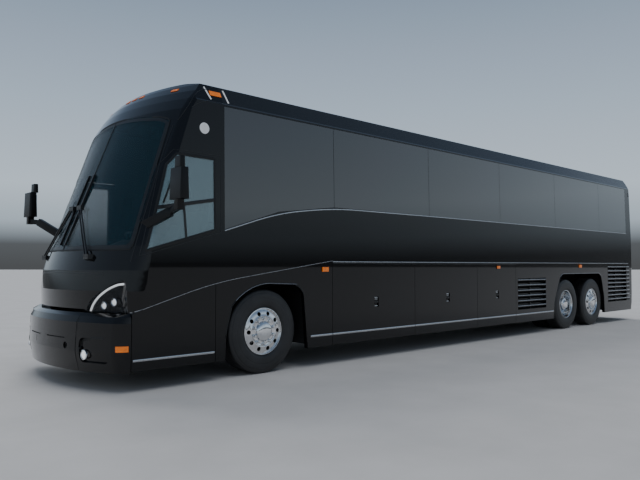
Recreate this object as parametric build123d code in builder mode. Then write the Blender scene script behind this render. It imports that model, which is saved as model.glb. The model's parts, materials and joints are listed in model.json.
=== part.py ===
from build123d import *
from math import cos, radians, sin, sqrt
import os

os.makedirs("parts", exist_ok=True)

# Coach bus, millimetres. +X points forwards, +Y to the driver's side, +Z up.
# The origin is on the ground under the middle of the coach.

# Overall sizes
LENGTH = 13840
WIDTH = 2590
ROOF_Z = 3540
WALL = 60
GLASS = 12
PANEL_GAP = 6
SEAT_GAP = 0.3

# Axles, measured from the front end
FRONT_OVERHANG = 2190
WHEELBASE = 8050
TAG_SPACING = 1220
FRONT_X = LENGTH / 2 - FRONT_OVERHANG
DRIVE_X = FRONT_X - WHEELBASE
TAG_X = DRIVE_X - TAG_SPACING
NOSE_X = LENGTH / 2
TAIL_X = -LENGTH / 2

# Wheels
TYRE_R = 515
TYRE_W = 310
RIM_R = 290
RIM_W = 255
TYRE_BULGE = 15
WHEEL_FACE_Y = 1245
TWIN_SPACING = 345
AXLE_Z = TYRE_R
HAND_HOLES = 10
HAND_HOLE_R = 30
HAND_HOLE_PCR = 205
DISC_R = 248
LUG_RING_R = 150
HUB_R = 120

# Steering
KINGPIN_Y = 880
KINGPIN_R = 28
KINGPIN_H = 300

# Heights of the body
HALF_W = WIDTH / 2
SKIRT_Z = 250
FRONT_SKIRT_Z = 220
BUMPER_Z = 200
BUMPER_TOP_Z = 816
SHELF_Z = 770
BELT_Z = 1350
WINDOW_Z = 2110
COVE_Z = 3215
COVE_Y = 1262
COVE_STEP = 18
SHOULDER_Z = 3445
SHOULDER_Y = 1130

# Stations along the body, ahead of the front axle where positive
B_POST_X = FRONT_X + 610
NOSE_BASE_X = FRONT_X - 300
CREASE_REAR_X = FRONT_X - 1187
BUMPER_JOINT_X = FRONT_X + 1755
TAIL_JOINT_X = FRONT_X - 11200
TAIL_BASE_X = TAIL_JOINT_X + 300

# Floors
FLOOR_Z = 1350
FLOOR_T = 50
AISLE_Z = 1100
COCKPIT_Z = 950
BAY_FLOOR_Z = 330

# Luggage doors: stations of the joints behind the front axle
BAY_JOINTS = [1138, 2913, 4637, 5923]
HINGE_R = 8
DOOR_BOTTOM_Z = 255
HANDLE_W = 100
HANDLE_H = 150
HANDLE_Z = 800

# Entrance door, right side, ahead of the front axle
ENTRY_REAR_X = FRONT_X + 790
ENTRY_FRONT_X = FRONT_X + 1620
ENTRY_BOTTOM_Z = 350
ENTRY_TOP_Z = 2480
ENTRY_KNEE_Z = 1450

# Engine door at the rear
ENGINE_DOOR_HALF_W = 800
ENGINE_DOOR_BOTTOM_Z = 640
ENGINE_DOOR_TOP_Z = 1640

# Windscreen: half widths and heights of its lower and upper corners, top of its arched edge
SCREEN_LOW_HALF_W = 1165
SCREEN_LOW_Z = 1495
SCREEN_HIGH_HALF_W = 1075
SCREEN_HIGH_Z = 3000
SCREEN_TOP_Z = 3095
SCREEN_CORNER_R = 80
SCREEN_SEAM = 4

# Plan sections of the nose.
# Columns: height, setback of the nose at the middle, sag of the front arc at CORNER_Y
CORNER_Y = 1180
CORNER_RUN = 193
SIDE_TRIM = 0.5
UPPER_SECTIONS = [
    (640, 150, 285),
    (850, 125, 290),
    (1050, 112, 300),
    (1270, 133, 305),
    (1533, 220, 288),
    (3100, 843, 222),
    (3230, 920, 228),
    (3340, 1000, 236),
    (3430, 1085, 245),
    (3482, 1146, 252),
    (3560, 1310, 285),
]
BUMPER_SECTIONS = [
    (BUMPER_Z, 40, 260),
    (420, 0, 260),
    (720, 10, 262),
    (785, 40, 265),
    (840, 140, 278),
]
SIDE_SECTIONS = [
    (BUMPER_Z, 40, 260),
    (420, 0, 260),
    (1400, 0, 260),
]

# Plan sections of the tail. Columns: height, setback of the tail
TAIL_CORNER_Y = 1075
TAIL_CORNER_R = 220
TAIL_SECTIONS = [
    (BUMPER_Z, 90),
    (420, 20),
    (640, 0),
    (1800, 0),
    (3081, 75),
    (3260, 100),
    (3390, 150),
    (3500, 230),
    (3560, 310),
]

# Rear face
REAR_BUMPER_TOP_Z = 600
REAR_WINDOW_HALF_W = 900
REAR_WINDOW_BOTTOM_Z = 2150
REAR_WINDOW_TOP_Z = 3000
TAIL_LAMP_Y = 960
TAIL_LAMP_W = 110
TAIL_LAMP_H = 150
TAIL_LAMP_Z = [720, 900, 1080, 1260]
ENGINE_GRILLE_HALF_W = 600
ENGINE_GRILLE_BOTTOM_Z = 760
ENGINE_GRILLE_TOP_Z = 1500
ENGINE_GRILLE_SLOTS = 8

# Entrance door details
ENTRY_FRAME = 80
ENTRY_WINDOW_Z = 1150
ENTRY_HINGE_Z = [450, 720]
ENTRY_HINGE_LEN = 160
ENTRY_HINGE_R = 12
ENTRY_STEPS = 3
STEP_INNER_Y = -420

# Cockpit and seats
AISLE_STEP_X = FRONT_X + 150
COCKPIT_X = FRONT_X + 660
COCKPIT_CORNER_X = FRONT_X + 1500
COCKPIT_FRONT_X = FRONT_X + 1700
REAR_FLOOR_HALF_W = 1070
REAR_SHELF_X = TAIL_X + 140
REAR_SHELF_Z = 2100
DASH_X = FRONT_X + 1480
DRIVER_SEAT_X = FRONT_X + 950
DRIVER_SEAT_Y = 700
SEAT_ROWS = 13
SEAT_PITCH = 815
SEAT_FIRST_X = FRONT_X + 60
SEAT_AISLE_Y = 200

# Underframe and axles
RAIL_Y = 430
RAIL_Z = 620
FRONT_RAIL_X = FRONT_X + 1900
SPINDLE_R = 45
SPRING_SEAT = 160

# Towing socket beside the middle of the bumper, and the beam that carries it
TOW_R = 21
TOW_WALL_R = 35
TOW_DEPTH = 140
TOW_FACE_X = FRONT_X + 2128
TOW_Y = 520
TOW_Z = 465
BUMPER_BEAM_T = 28
BUMPER_BEAM_HALF_W = 600

# Place of the rear number plate
PLATE_Z = 470
PLATE_W = 340
PLATE_H = 180
PLATE_RECESS = 30
PLATE_HOLE_R = 3.5
PLATE_HOLES_Y = 177.8
PLATE_HOLES_Z = 120.65

# Recesses in the bumper's face. Columns: y, height, width, length
BUMPER_RECESS = 25
BUMPER_GROOVES = [
    (-700, 508, 5, 640),
    (700, 508, 5, 640),
    (-299, 545, 388, 12),
    (299, 545, 388, 12),
    (-230, 488, 12, 70),
]
FOG_POCKET_Y = 945
FOG_POCKET_Z = 430
FOG_POCKET_W = 390
FOG_POCKET_H = 260
FOG_POCKET_R = 60
FOG_Y = 819
FOG_Z = 381
FOG_R = 50

# Headlamp seen from the side, and its lenses. Columns of LENSES: y, height
HEAD_LAMP = [(FRONT_X + 1760, 822), (FRONT_X + 1973, 822), (FRONT_X + 1902, 1062), (FRONT_X + 1773, 1172)]
LENSES = [(905, 892), (1033, 932)]
LAMP_INNER_Y = 650
LENS_R = 40
LENS_DEPTH = 25

# Marker lamps. Columns of SIDE_MARKERS: station behind the front axle, height
SIDE_MARKERS = [(999, 1270), (8622, 1308)]
DOOR_MARKER_STATION = 5311
DOOR_MARKER_Z = 1290
# Columns of SURFACE_MARKERS: rear x, front x, low y, high y, low z, high z; each lies on the nose's skin
SURFACE_MARKERS = [
    (FRONT_X + 612, FRONT_X + 768, 900, HALF_W, 3310, 3370),
    (FRONT_X + 612, FRONT_X + 768, -HALF_W, -900, 3310, 3370),
    (FRONT_X + 700, NOSE_X, 800, 895, 3376, 3404),
    (FRONT_X + 700, NOSE_X, -895, -800, 3376, 3404),
    (FRONT_X + 700, NOSE_X, 133, 227, 3412, 3442),
    (FRONT_X + 700, NOSE_X, -227, -133, 3412, 3442),
    (FRONT_X + 700, NOSE_X, -47, 47, 3414, 3444),
]
LENS_PROUD = 8
SIGNAL_X = (FRONT_X + 1791, FRONT_X + 1900)
SIGNAL_Z = (430, 490)

# Mirrors: housings on a post. Columns: bottom above the base, height, depth, width
MIRROR_Y = 1600
MIRROR_HOUSINGS = [(0, 330, 108, 256), (337, 118, 62, 150)]
MIRROR_CORNER_R = 28
# Columns: side, station of the lower housing, station of the upper one, base height,
# points of the arm with its width and depth there (station, y, z, width, depth)
MIRRORS = [
    (1, 1395, 1390, 2015, [(1580, 1150, 1735, 60, 96), (1430, 1470, 1885, 52, 66), (1395, 1600, 1945, 70, 78)]),
    (-1, 1822, 1770, 1985, [(1590, 1150, 1735, 60, 96), (1745, 1450, 1905, 52, 66), (1822, 1600, 1925, 70, 78)]),
]

# Wipers: two pantographs whose blades park upright beside the windscreen's seam
WIPER_MID_Y = -25
WIPER_BLADE_Y = 75
WIPER_BLADE_LOW_Z = 1560
WIPER_BLADE_HIGH_Z = 2410
WIPER_BLADE_T = 28
WIPER_PIVOT_Y = 645
WIPER_PIVOT_Z = 1420
WIPER_HUB_Z = 2000
WIPER_ARM_R = 9
WIPER_ARM_SPACING = 60

# Roof hatches and the vents high on the rear corners
HATCH_X = [2000, -2800]
HATCH_SIZE = 700
HATCH_H = 25
REAR_VENT_X = FRONT_X - 11420
REAR_VENT_W = 90
REAR_VENT_H = 14
REAR_VENT_Z = [3036, 3068, 3100]

# Wheelhouses, stations from the front axle. Columns: rear end, front end, inner face of the wall
# beside the wheels, walls across (stations), axles that pass through (stations)
WHEELHOUSE_T = 15
WHEELHOUSE_LOW_Z = 300
WHEELHOUSES = [
    (-1117, 659, 505, [-715, 644], [0]),
    (-9880, -7380, 590, [-9880, -7395], [-8050, -9270]),
]
AXLE_CUT_HALF_W = 110
AXLE_CUT_Z = 700


def nose_section(height):
    """Setback and sag of the nose at a height."""
    for (z0, back0, sag0), (z1, back1, sag1) in zip(UPPER_SECTIONS, UPPER_SECTIONS[1:]):
        if z0 <= height <= z1:
            part = (height - z0) / (z1 - z0)
            return back0 + (back1 - back0) * part, sag0 + (sag1 - sag0) * part
    return UPPER_SECTIONS[0][1:]


def nose_x(height, y=0):
    """Where the skin of the nose is at a height and a distance from the middle."""
    back, sag = nose_section(height)
    radius = (CORNER_Y ** 2 + sag ** 2) / (2 * sag)
    return NOSE_X - back - radius + sqrt(radius ** 2 - y ** 2)


def profile_points(inset):
    """Half of the body's cross-section from the belt to the roof, moved inwards by inset."""
    return {
        "side": HALF_W - inset,
        "cove": (COVE_Y - inset, COVE_Z),
        "step": (COVE_Y - COVE_STEP - inset, COVE_Z + COVE_STEP),
        "shoulder": (SHOULDER_Y - inset * 0.7, SHOULDER_Z - inset * 0.8),
        "crown": ROOF_Z - inset,
    }


def profile_line(inset, low_z):
    """Closed outline of the whole cross-section, drawn inside a BuildLine block."""
    p = profile_points(inset)
    mirrored = [(-p[key][0], p[key][1]) for key in ("shoulder", "step", "cove")]
    Polyline(
        (-p["side"], low_z), (p["side"], low_z), (p["side"], BELT_Z),
        p["cove"], p["step"], p["shoulder"],
    )
    ThreePointArc(p["shoulder"], (0, p["crown"]), mirrored[0])
    Polyline(mirrored[0], mirrored[1], mirrored[2], (-p["side"], BELT_Z), (-p["side"], low_z))


def band(x_low, x_high, y_low, y_high, z_low, z_high, outer=0, inner=WALL):
    """Stretch of the body's skin of constant section, kept inside a window of Y and Z."""
    with BuildPart() as strip:
        with BuildSketch(Plane.YZ.offset(x_low)):
            with BuildLine():
                profile_line(outer, BUMPER_Z)
            make_face()
            with BuildLine():
                profile_line(inner, BUMPER_Z - 1)
            make_face(mode=Mode.SUBTRACT)
            with Locations(((y_low + y_high) / 2, (z_low + z_high) / 2)):
                Rectangle(y_high - y_low, z_high - z_low, mode=Mode.INTERSECT)
        extrude(amount=x_high - x_low)
    return strip.part


def nose_form(sections, inset):
    """Solid nose ahead of the B-post, lofted a little wide from plan sections and trimmed to the profile."""
    half = HALF_W - inset + SIDE_TRIM
    with BuildPart() as form:
        for height, back, sag in sections:
            tip = NOSE_X - back - inset
            corner = tip - sag
            side = corner - CORNER_RUN
            corner_y = CORNER_Y - inset * 0.9
            with BuildSketch(Plane.XY.offset(height)):
                with BuildLine():
                    ThreePointArc((corner, -corner_y), (tip, 0), (corner, corner_y))
                    TangentArc((side, half), (corner, corner_y), tangent=(1, 0))
                    Polyline((side, half), (NOSE_BASE_X, half), (NOSE_BASE_X, -half), (side, -half))
                    TangentArc((side, -half), (corner, -corner_y), tangent=(1, 0))
                make_face()
        loft(ruled=True)
        with BuildSketch(Plane.YZ.offset(B_POST_X)):
            with BuildLine():
                profile_line(inset, BUMPER_Z)
            make_face()
        extrude(amount=NOSE_X - B_POST_X, mode=Mode.INTERSECT)
    return form.part


def tail_form(inset):
    """Solid tail behind the last side joint."""
    half = HALF_W - inset
    with BuildPart() as form:
        for height, back in TAIL_SECTIONS:
            tip = TAIL_X + back + inset
            side = tip + TAIL_CORNER_R
            corner_y = TAIL_CORNER_Y
            with BuildSketch(Plane.XY.offset(height)):
                with BuildLine():
                    Polyline((tip, -corner_y), (tip, corner_y))
                    TangentArc((side, half), (tip, corner_y), tangent=(-1, 0))
                    Polyline((side, half), (TAIL_BASE_X, half), (TAIL_BASE_X, -half), (side, -half))
                    TangentArc((side, -half), (tip, -corner_y), tangent=(-1, 0))
                make_face()
        loft(ruled=True)
        with BuildSketch(Plane.YZ.offset(TAIL_JOINT_X)):
            with BuildLine():
                profile_line(inset, BUMPER_Z)
            make_face()
        extrude(amount=TAIL_X - TAIL_JOINT_X, mode=Mode.INTERSECT)
    return form.part


NOSE_OUTER = nose_form(UPPER_SECTIONS, 0)
NOSE_INNER = nose_form(UPPER_SECTIONS, WALL)
NOSE_SKIN = NOSE_OUTER - NOSE_INNER
NOSE_GLAZING = NOSE_OUTER - nose_form(UPPER_SECTIONS, GLASS)
NOSE_CLEAR = nose_form(UPPER_SECTIONS, -SEAT_GAP)
NOSE_LENS = nose_form(UPPER_SECTIONS, -LENS_PROUD) - NOSE_CLEAR
BUMPER_OUTER = nose_form(BUMPER_SECTIONS, 0)
BUMPER_SKIN = BUMPER_OUTER - nose_form(BUMPER_SECTIONS, WALL)
BUMPER_RIND = BUMPER_OUTER - nose_form(BUMPER_SECTIONS, BUMPER_RECESS)
SIDE_OUTER = nose_form(SIDE_SECTIONS, 0)
SIDE_SKIN = SIDE_OUTER - nose_form(SIDE_SECTIONS, WALL)
TAIL_OUTER = tail_form(0)
TAIL_SKIN = TAIL_OUTER - tail_form(WALL)

# Side view lines of the front: the crease above the service panel and the silver line under the glass
CREASE = [(CREASE_REAR_X, 1382), (FRONT_X + 742, 1122), (FRONT_X + 1750, 820)]
SILVER = [(CREASE_REAR_X, 2095), (FRONT_X - 220, 1981), (FRONT_X + 622, 1723), (FRONT_X + 1719, 1291)]
COWL_Z = 1284
# Lower edge of the front panel: over the side joint, then stepped up over the bumper's slot
PANEL_FOOT = [(BUMPER_JOINT_X, 822), (FRONT_X + 1970, 822), (FRONT_X + 1982, 850), (NOSE_X + 50, 850)]


def save(piece, name):
    piece.label = name
    export_step(piece, f"parts/{name}.step")


def lower_region():
    """Side-view area below the crease and behind the bumper's joint."""
    with BuildSketch() as area:
        with BuildLine():
            ThreePointArc(*CREASE)
            Polyline(CREASE[2], (BUMPER_JOINT_X, 815), (BUMPER_JOINT_X, FRONT_SKIRT_Z),
                     (CREASE_REAR_X, FRONT_SKIRT_Z), CREASE[0])
        make_face()
    return area.sketch


def crease_region(z_limit, x_rear=CREASE_REAR_X):
    """Side-view area between the crease and a height, ahead of x_rear."""
    with BuildSketch() as area:
        with BuildLine():
            ThreePointArc(*CREASE)
            Polyline(CREASE[2], (CREASE[2][0], z_limit), (CREASE[0][0], z_limit), CREASE[0])
        make_face()
        if x_rear > CREASE_REAR_X:
            side_box(CREASE_REAR_X - 1, x_rear, 0, 2 * BELT_Z, mode=Mode.SUBTRACT)
    return area.sketch


def side_box(x_low, x_high, z_low, z_high, mode=Mode.ADD):
    """Rectangle given by its corners, inside a BuildSketch block."""
    with Locations(((x_low + x_high) / 2, (z_low + z_high) / 2)):
        Rectangle(x_high - x_low, z_high - z_low, mode=mode)


FIXED_FRONT_X = FRONT_X - BAY_JOINTS[0] + PANEL_GAP / 2
FIXED_REAR_X = FRONT_X - BAY_JOINTS[-1] - PANEL_GAP / 2
SERVICE_JOINT_X = FRONT_X + 730


# Front wheel arch in side view
ARCH_FRONT = [(600, 180), (590, 520), (504, 848)]
ARCH_BEND = (FRONT_X + 200, 1055)
ARCH_TOP = (FRONT_X - 60, 1100)
ARCH_REAR = [(-500, 1080), (-620, 980), (-693, 180)]


def front_arch():
    """Outline of the front arch, drawn inside a BuildSketch."""
    front = [(FRONT_X + x, z) for x, z in ARCH_FRONT]
    rear = [(FRONT_X + x, z) for x, z in ARCH_REAR]
    with BuildSketch() as area:
        with BuildLine():
            Polyline(*front)
            ThreePointArc(front[2], ARCH_BEND, ARCH_TOP)
            Polyline(ARCH_TOP, *rear, front[0])
        make_face()
    return area.sketch


REAR_ARCH = [
    (-7400, 180), (-7440, 560), (-7700, 1080), (-7800, 1150),
    (-9580, 1150), (-9690, 1080), (-9830, 620), (-9850, 180),
]


def rear_arch():
    """Outline of the rear arch, drawn inside a BuildSketch."""
    with BuildSketch() as area:
        with BuildLine():
            Polyline(*[(FRONT_X + x, z) for x, z in REAR_ARCH], close=True)
        make_face()
    return area.sketch


# Louvres. Columns: front station, rear station, bottom, top, slats
LOUVRES = [
    (-5996, -7084, 490, 1080, 6),
    (-10050, -11130, 480, 1320, 9),
]
SLAT_T = 22
SLAT_DEPTH = 50


def fixed_side_panels():
    """Lower panels that do not open, both sides, with arches and louvre openings."""
    with BuildPart() as shelf:
        add(SIDE_OUTER - NOSE_INNER)
        with BuildSketch(Plane.XZ):
            with BuildLine():
                Polyline((FRONT_X + 1470, 860), (BUMPER_JOINT_X, 775), (BUMPER_JOINT_X, 1000),
                         (FRONT_X + 1470, 1000), close=True)
            make_face()
        extrude(amount=WIDTH, both=True, mode=Mode.INTERSECT)
    with BuildPart() as panels:
        add(SIDE_SKIN)
        add(shelf.part)
        with BuildSketch(Plane.XZ):
            add(lower_region())
        extrude(amount=WIDTH, both=True, mode=Mode.INTERSECT)
        for side in (-1, 1):
            y_low, y_high = sorted((side * (HALF_W - WALL - 1), side * (HALF_W + 1)))
            add(band(FIXED_FRONT_X, FRONT_X, y_low, y_high, SKIRT_Z, BELT_Z + 40))
            add(band(FRONT_X, B_POST_X, y_low, y_high, FRONT_SKIRT_Z, BELT_Z + 40))
            add(band(TAIL_JOINT_X, FIXED_REAR_X, y_low, y_high, SKIRT_Z, BELT_Z))
        with BuildSketch(Plane.XZ):
            add(crease_region(1600))
            add(front_arch())
            add(rear_arch())
            for front_s, rear_s, low, high, _ in LOUVRES:
                side_box(FRONT_X + rear_s, FRONT_X + front_s, low, high)
        extrude(amount=WIDTH, both=True, mode=Mode.SUBTRACT)
        with BuildSketch(Plane.XZ.offset(HALF_W / 2)):
            side_box(ENTRY_REAR_X - PANEL_GAP, ENTRY_FRONT_X + PANEL_GAP, 0, 1700)
        extrude(amount=HALF_W, mode=Mode.SUBTRACT)
        with BuildSketch(Plane.XZ.offset(-HALF_W / 2)):
            side_box(SERVICE_JOINT_X - PANEL_GAP / 2, SERVICE_JOINT_X + PANEL_GAP / 2, 0, 1700)
        extrude(amount=-HALF_W, mode=Mode.SUBTRACT)
        entry_hinge_grooves()
    return panels.part


def side_grilles():
    """Sloping slats in the louvre openings, joined by an upright behind them."""
    with BuildPart() as grilles:
        for front_s, rear_s, low, high, slats in LOUVRES:
            pitch = (high - low) / slats
            for side in (-1, 1):
                y_face = side * (HALF_W - 4)
                y_back = y_face - side * SLAT_DEPTH
                for k in range(slats):
                    z = low + pitch * (k + 0.5)
                    z_back = z - pitch * 0.45
                    with BuildSketch(Plane.YZ.offset(FRONT_X + rear_s)):
                        with BuildLine():
                            Polyline((y_face, z), (y_face, z + SLAT_T), (y_back, z_back + SLAT_T),
                                     (y_back, z_back), close=True)
                        make_face()
                    extrude(amount=front_s - rear_s)
                with Locations(((FRONT_X + (front_s + rear_s) / 2, side * (HALF_W - 50), (low + high) / 2))):
                    Box(30, 12, high - low)
    return grilles.part


# Passenger windows, joints behind the front axle; each pane spans from one joint to the next
PANE_JOINTS = [-610, 1187, 3310, 5430, 7550, 9670, 11200]
PANE_GAP = 6
PANE_TOP_Z = 3195
WINDOW_FRAME = 90


def pane_outline(front_s, rear_s, margin, bottom_shift=0):
    """One pane seen from the side, shrunk by a margin."""
    x0 = FRONT_X - rear_s + margin
    x1 = FRONT_X - front_s - margin
    top = PANE_TOP_Z - margin
    with BuildSketch() as area:
        if front_s < 0:
            with BuildLine():
                Polyline((x0, SILVER[0][1] + margin + 15), (FRONT_X - 220, SILVER[1][1] + margin + 15),
                         (x1, 1740 + margin), (x1, top), (x0, top), close=True)
            make_face()
        else:
            side_box(x0, x1, WINDOW_Z + margin, top)
    return area.sketch


def wall(side):
    """Side wall from the belt to the cove, with its windows cut and a rebate for the glass."""
    y_low, y_high = sorted((side * 1000, side * (HALF_W + 1)))
    with BuildPart() as piece:
        add(band(TAIL_JOINT_X, FIXED_FRONT_X, y_low, y_high, BELT_Z + 5, COVE_Z))
        add(band(FIXED_FRONT_X, B_POST_X, y_low, y_high, 1100, COVE_Z))
        with BuildSketch(Plane.XZ):
            add(crease_region(700, FIXED_FRONT_X))
            for front_s, rear_s in zip(PANE_JOINTS[:-1], PANE_JOINTS[1:-1]):
                add(pane_outline(front_s, rear_s, WINDOW_FRAME))
        extrude(amount=WIDTH, both=True, mode=Mode.SUBTRACT)
        add(pane_layer(y_low, y_high, 0), mode=Mode.SUBTRACT)
        for k in range(len(BAY_JOINTS) - 1):
            mid = FRONT_X - (BAY_JOINTS[k] + BAY_JOINTS[k + 1]) / 2
            with Locations(Location((mid, side * HALF_W, BELT_Z), (0, 90, 0))):
                Cylinder(HINGE_R + SEAT_GAP, BAY_JOINTS[k + 1] - BAY_JOINTS[k] + 1, mode=Mode.SUBTRACT)
    return piece.part


def pane_layer(y_low, y_high, margin):
    """Outer layer of the skin inside the pane outlines."""
    with BuildPart() as layer:
        add(band(TAIL_JOINT_X, B_POST_X, y_low, y_high, 1600, PANE_TOP_Z, inner=GLASS))
        with BuildSketch(Plane.XZ):
            for front_s, rear_s in zip(PANE_JOINTS, PANE_JOINTS[1:]):
                add(pane_outline(front_s, rear_s, margin))
        extrude(amount=WIDTH, both=True, mode=Mode.INTERSECT)
    return layer.part


def window_glass():
    """Side panes on their rebates, the driver's window and the rear window."""
    with BuildPart() as glass:
        for side in (-1, 1):
            y_low, y_high = sorted((side * 1000, side * (HALF_W + 1)))
            add(pane_layer(y_low, y_high, PANE_GAP / 2))
        add(driver_glass())
        add(rear_window())
    return glass.part


def roof():
    """Roof from cove to cove with its two hatches."""
    with BuildPart() as piece:
        add(band(TAIL_JOINT_X, B_POST_X, -HALF_W, HALF_W, COVE_Z, ROOF_Z + 10))
        for x in HATCH_X:
            slab(x - HATCH_SIZE / 2, x + HATCH_SIZE / 2, -HATCH_SIZE / 2, HATCH_SIZE / 2,
                 ROOF_Z - WALL / 2, ROOF_Z + HATCH_H)
    return piece.part


def above_silver():
    """Side-view area above the silver line, ahead of the B-post."""
    with BuildSketch() as area:
        with BuildLine():
            Polyline((B_POST_X, 1723), (FRONT_X + 1719, 1291), (FRONT_X + 1740, COWL_Z), (NOSE_X + 50, COWL_Z),
                     (NOSE_X + 50, ROOF_Z + 50), (B_POST_X, ROOF_Z + 50), close=True)
        make_face()
    return area.sketch


def screen_outline(shrink, seam=0):
    """Windscreen seen from the front, shrunk all round, with a seam down the middle."""
    low_y = SCREEN_LOW_HALF_W - shrink
    high_y = SCREEN_HIGH_HALF_W - shrink
    low_z = SCREEN_LOW_Z + shrink
    high_z = SCREEN_HIGH_Z - shrink
    with BuildSketch() as area:
        with BuildLine():
            Polyline((-high_y, high_z), (-low_y, low_z), (low_y, low_z), (high_y, high_z))
            ThreePointArc((high_y, high_z), (0, SCREEN_TOP_Z - shrink), (-high_y, high_z))
        make_face()
        fillet(area.vertices(), SCREEN_CORNER_R)
        if seam:
            side_box(-seam / 2, seam / 2, 0, ROOF_Z, mode=Mode.SUBTRACT)
    return area.sketch


# Driver's side window: corners ahead of the front axle, and the bar between its panes
DRIVER_WINDOW = [(745, 2551), (739, 1730), (1600, 1480), (1335, 2434), (1235, 2561)]
DRIVER_BAR = [(680, 2070), (1680, 1888), (1680, 1924), (680, 2106)]


def driver_window():
    """Both panes of the driver's side window seen from the side."""
    with BuildSketch() as area:
        with BuildLine():
            Polyline(*[(FRONT_X + x, z) for x, z in DRIVER_WINDOW], close=True)
        make_face()
        with BuildLine():
            Polyline(*[(FRONT_X + x, z) for x, z in DRIVER_BAR], close=True)
        make_face(mode=Mode.SUBTRACT)
    return area.sketch


def entry_outline(grow):
    """Entrance doorway seen from the side; its upper front edge follows the windscreen pillar."""
    slope = (nose_x(ENTRY_KNEE_Z + 180) - nose_x(ENTRY_TOP_Z)) / (ENTRY_TOP_Z - ENTRY_KNEE_Z - 180)
    top_front = ENTRY_FRONT_X - slope * (ENTRY_TOP_Z - ENTRY_KNEE_Z)
    with BuildSketch() as area:
        with BuildLine():
            Polyline((ENTRY_REAR_X - grow, ENTRY_BOTTOM_Z - grow), (ENTRY_FRONT_X + grow, ENTRY_BOTTOM_Z - grow),
                     (ENTRY_FRONT_X + grow, ENTRY_KNEE_Z), (top_front + grow, ENTRY_TOP_Z + grow),
                     (ENTRY_REAR_X - grow, ENTRY_TOP_Z + grow), close=True)
        make_face()
    return area.sketch


def front_cap():
    """Windscreen surround: cowl, pillars, header and the driver's side panel."""
    with BuildPart() as piece:
        add(NOSE_SKIN)
        with BuildSketch(Plane.XZ):
            add(above_silver())
        extrude(amount=WIDTH, both=True, mode=Mode.INTERSECT)
        with BuildSketch(Plane.YZ.offset(FRONT_X + 1000)):
            add(screen_outline(0))
        extrude(amount=2000, mode=Mode.SUBTRACT)
        with BuildSketch(Plane.XZ.offset(-HALF_W / 2)):
            add(driver_window())
        extrude(amount=-HALF_W, mode=Mode.SUBTRACT)
        with BuildSketch(Plane.XZ.offset(HALF_W * 0.8)):
            add(entry_outline(PANEL_GAP))
        extrude(amount=HALF_W, mode=Mode.SUBTRACT)
    return piece.part


def entry_hinge_grooves():
    """Round seats for the entrance door's hinge barrels, cut inside a BuildPart block."""
    for z in ENTRY_HINGE_Z:
        with Locations(Location((ENTRY_FRONT_X, -HALF_W, z), (0, 0, 90))):
            Cylinder(ENTRY_HINGE_R + SEAT_GAP, ENTRY_HINGE_LEN + 10, mode=Mode.SUBTRACT)


def front_panel():
    """Panel between the bumper and the cowl, wrapping to both sides."""
    with BuildPart() as piece:
        add(NOSE_SKIN)
        with BuildSketch(Plane.XZ):
            add(above_silver())
            add(lower_region())
            with BuildLine():
                Polyline(*PANEL_FOOT, (NOSE_X + 50, 600), (BUMPER_JOINT_X, 600), close=True)
            make_face()
            side_box(CREASE_REAR_X, BUMPER_JOINT_X, 600, 815)
        extrude(amount=WIDTH, both=True, mode=Mode.SUBTRACT)
        add(head_lamp_space(), mode=Mode.SUBTRACT)
        with BuildSketch(Plane.XZ.offset(HALF_W * 0.8)):
            add(entry_outline(PANEL_GAP))
        extrude(amount=HALF_W, mode=Mode.SUBTRACT)
    return piece.part


def bumper_recesses():
    """Fog lamp pockets, slots and the joints of the corner pieces, as deep as BUMPER_RECESS."""
    with BuildPart() as recesses:
        add(BUMPER_RIND)
        with BuildSketch(Plane.YZ.offset(FRONT_X + 1600)):
            with Locations((-FOG_POCKET_Y, FOG_POCKET_Z), (FOG_POCKET_Y, FOG_POCKET_Z)):
                RectangleRounded(FOG_POCKET_W, FOG_POCKET_H, FOG_POCKET_R)
            for y, z, width, height in BUMPER_GROOVES:
                with Locations((y, z)):
                    Rectangle(width, height)
        extrude(amount=1000, mode=Mode.INTERSECT)
    return recesses.part


def front_bumper():
    """Bumper wrapping to both sides, closed above by a shelf that reaches in under the front panel."""
    with BuildPart() as shelf:
        add(BUMPER_OUTER - NOSE_INNER)
        with BuildSketch(Plane.XZ):
            side_box(BUMPER_JOINT_X - 50, NOSE_X + 50, SHELF_Z, BUMPER_TOP_Z)
        extrude(amount=WIDTH, both=True, mode=Mode.INTERSECT)
    with BuildPart() as piece:
        add(BUMPER_SKIN)
        add(shelf.part)
        with BuildSketch(Plane.XZ):
            side_box(BUMPER_JOINT_X + PANEL_GAP, NOSE_X + 50, BUMPER_Z, BUMPER_TOP_Z)
        extrude(amount=WIDTH, both=True, mode=Mode.INTERSECT)
        add(bumper_recesses(), mode=Mode.SUBTRACT)
        with BuildSketch(Plane.YZ.offset(FRONT_X + 1900)):
            with Locations((TOW_Y, TOW_Z)):
                Circle(TOW_WALL_R + SEAT_GAP)
        extrude(amount=400, mode=Mode.SUBTRACT)
    return piece.part


def windshield():
    """Two curved panes meeting at the middle."""
    with BuildPart() as piece:
        add(NOSE_GLAZING)
        with BuildSketch(Plane.YZ.offset(FRONT_X + 1000)):
            add(screen_outline(SEAT_GAP, seam=SCREEN_SEAM))
        extrude(amount=2000, mode=Mode.INTERSECT)
    return piece.part


def driver_glass():
    """Panes of the driver's side window."""
    with BuildPart() as piece:
        add(NOSE_GLAZING)
        with BuildSketch(Plane.XZ.offset(-HALF_W / 2)):
            add(driver_window())
        extrude(amount=-HALF_W, mode=Mode.INTERSECT)
    return piece.part


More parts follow.
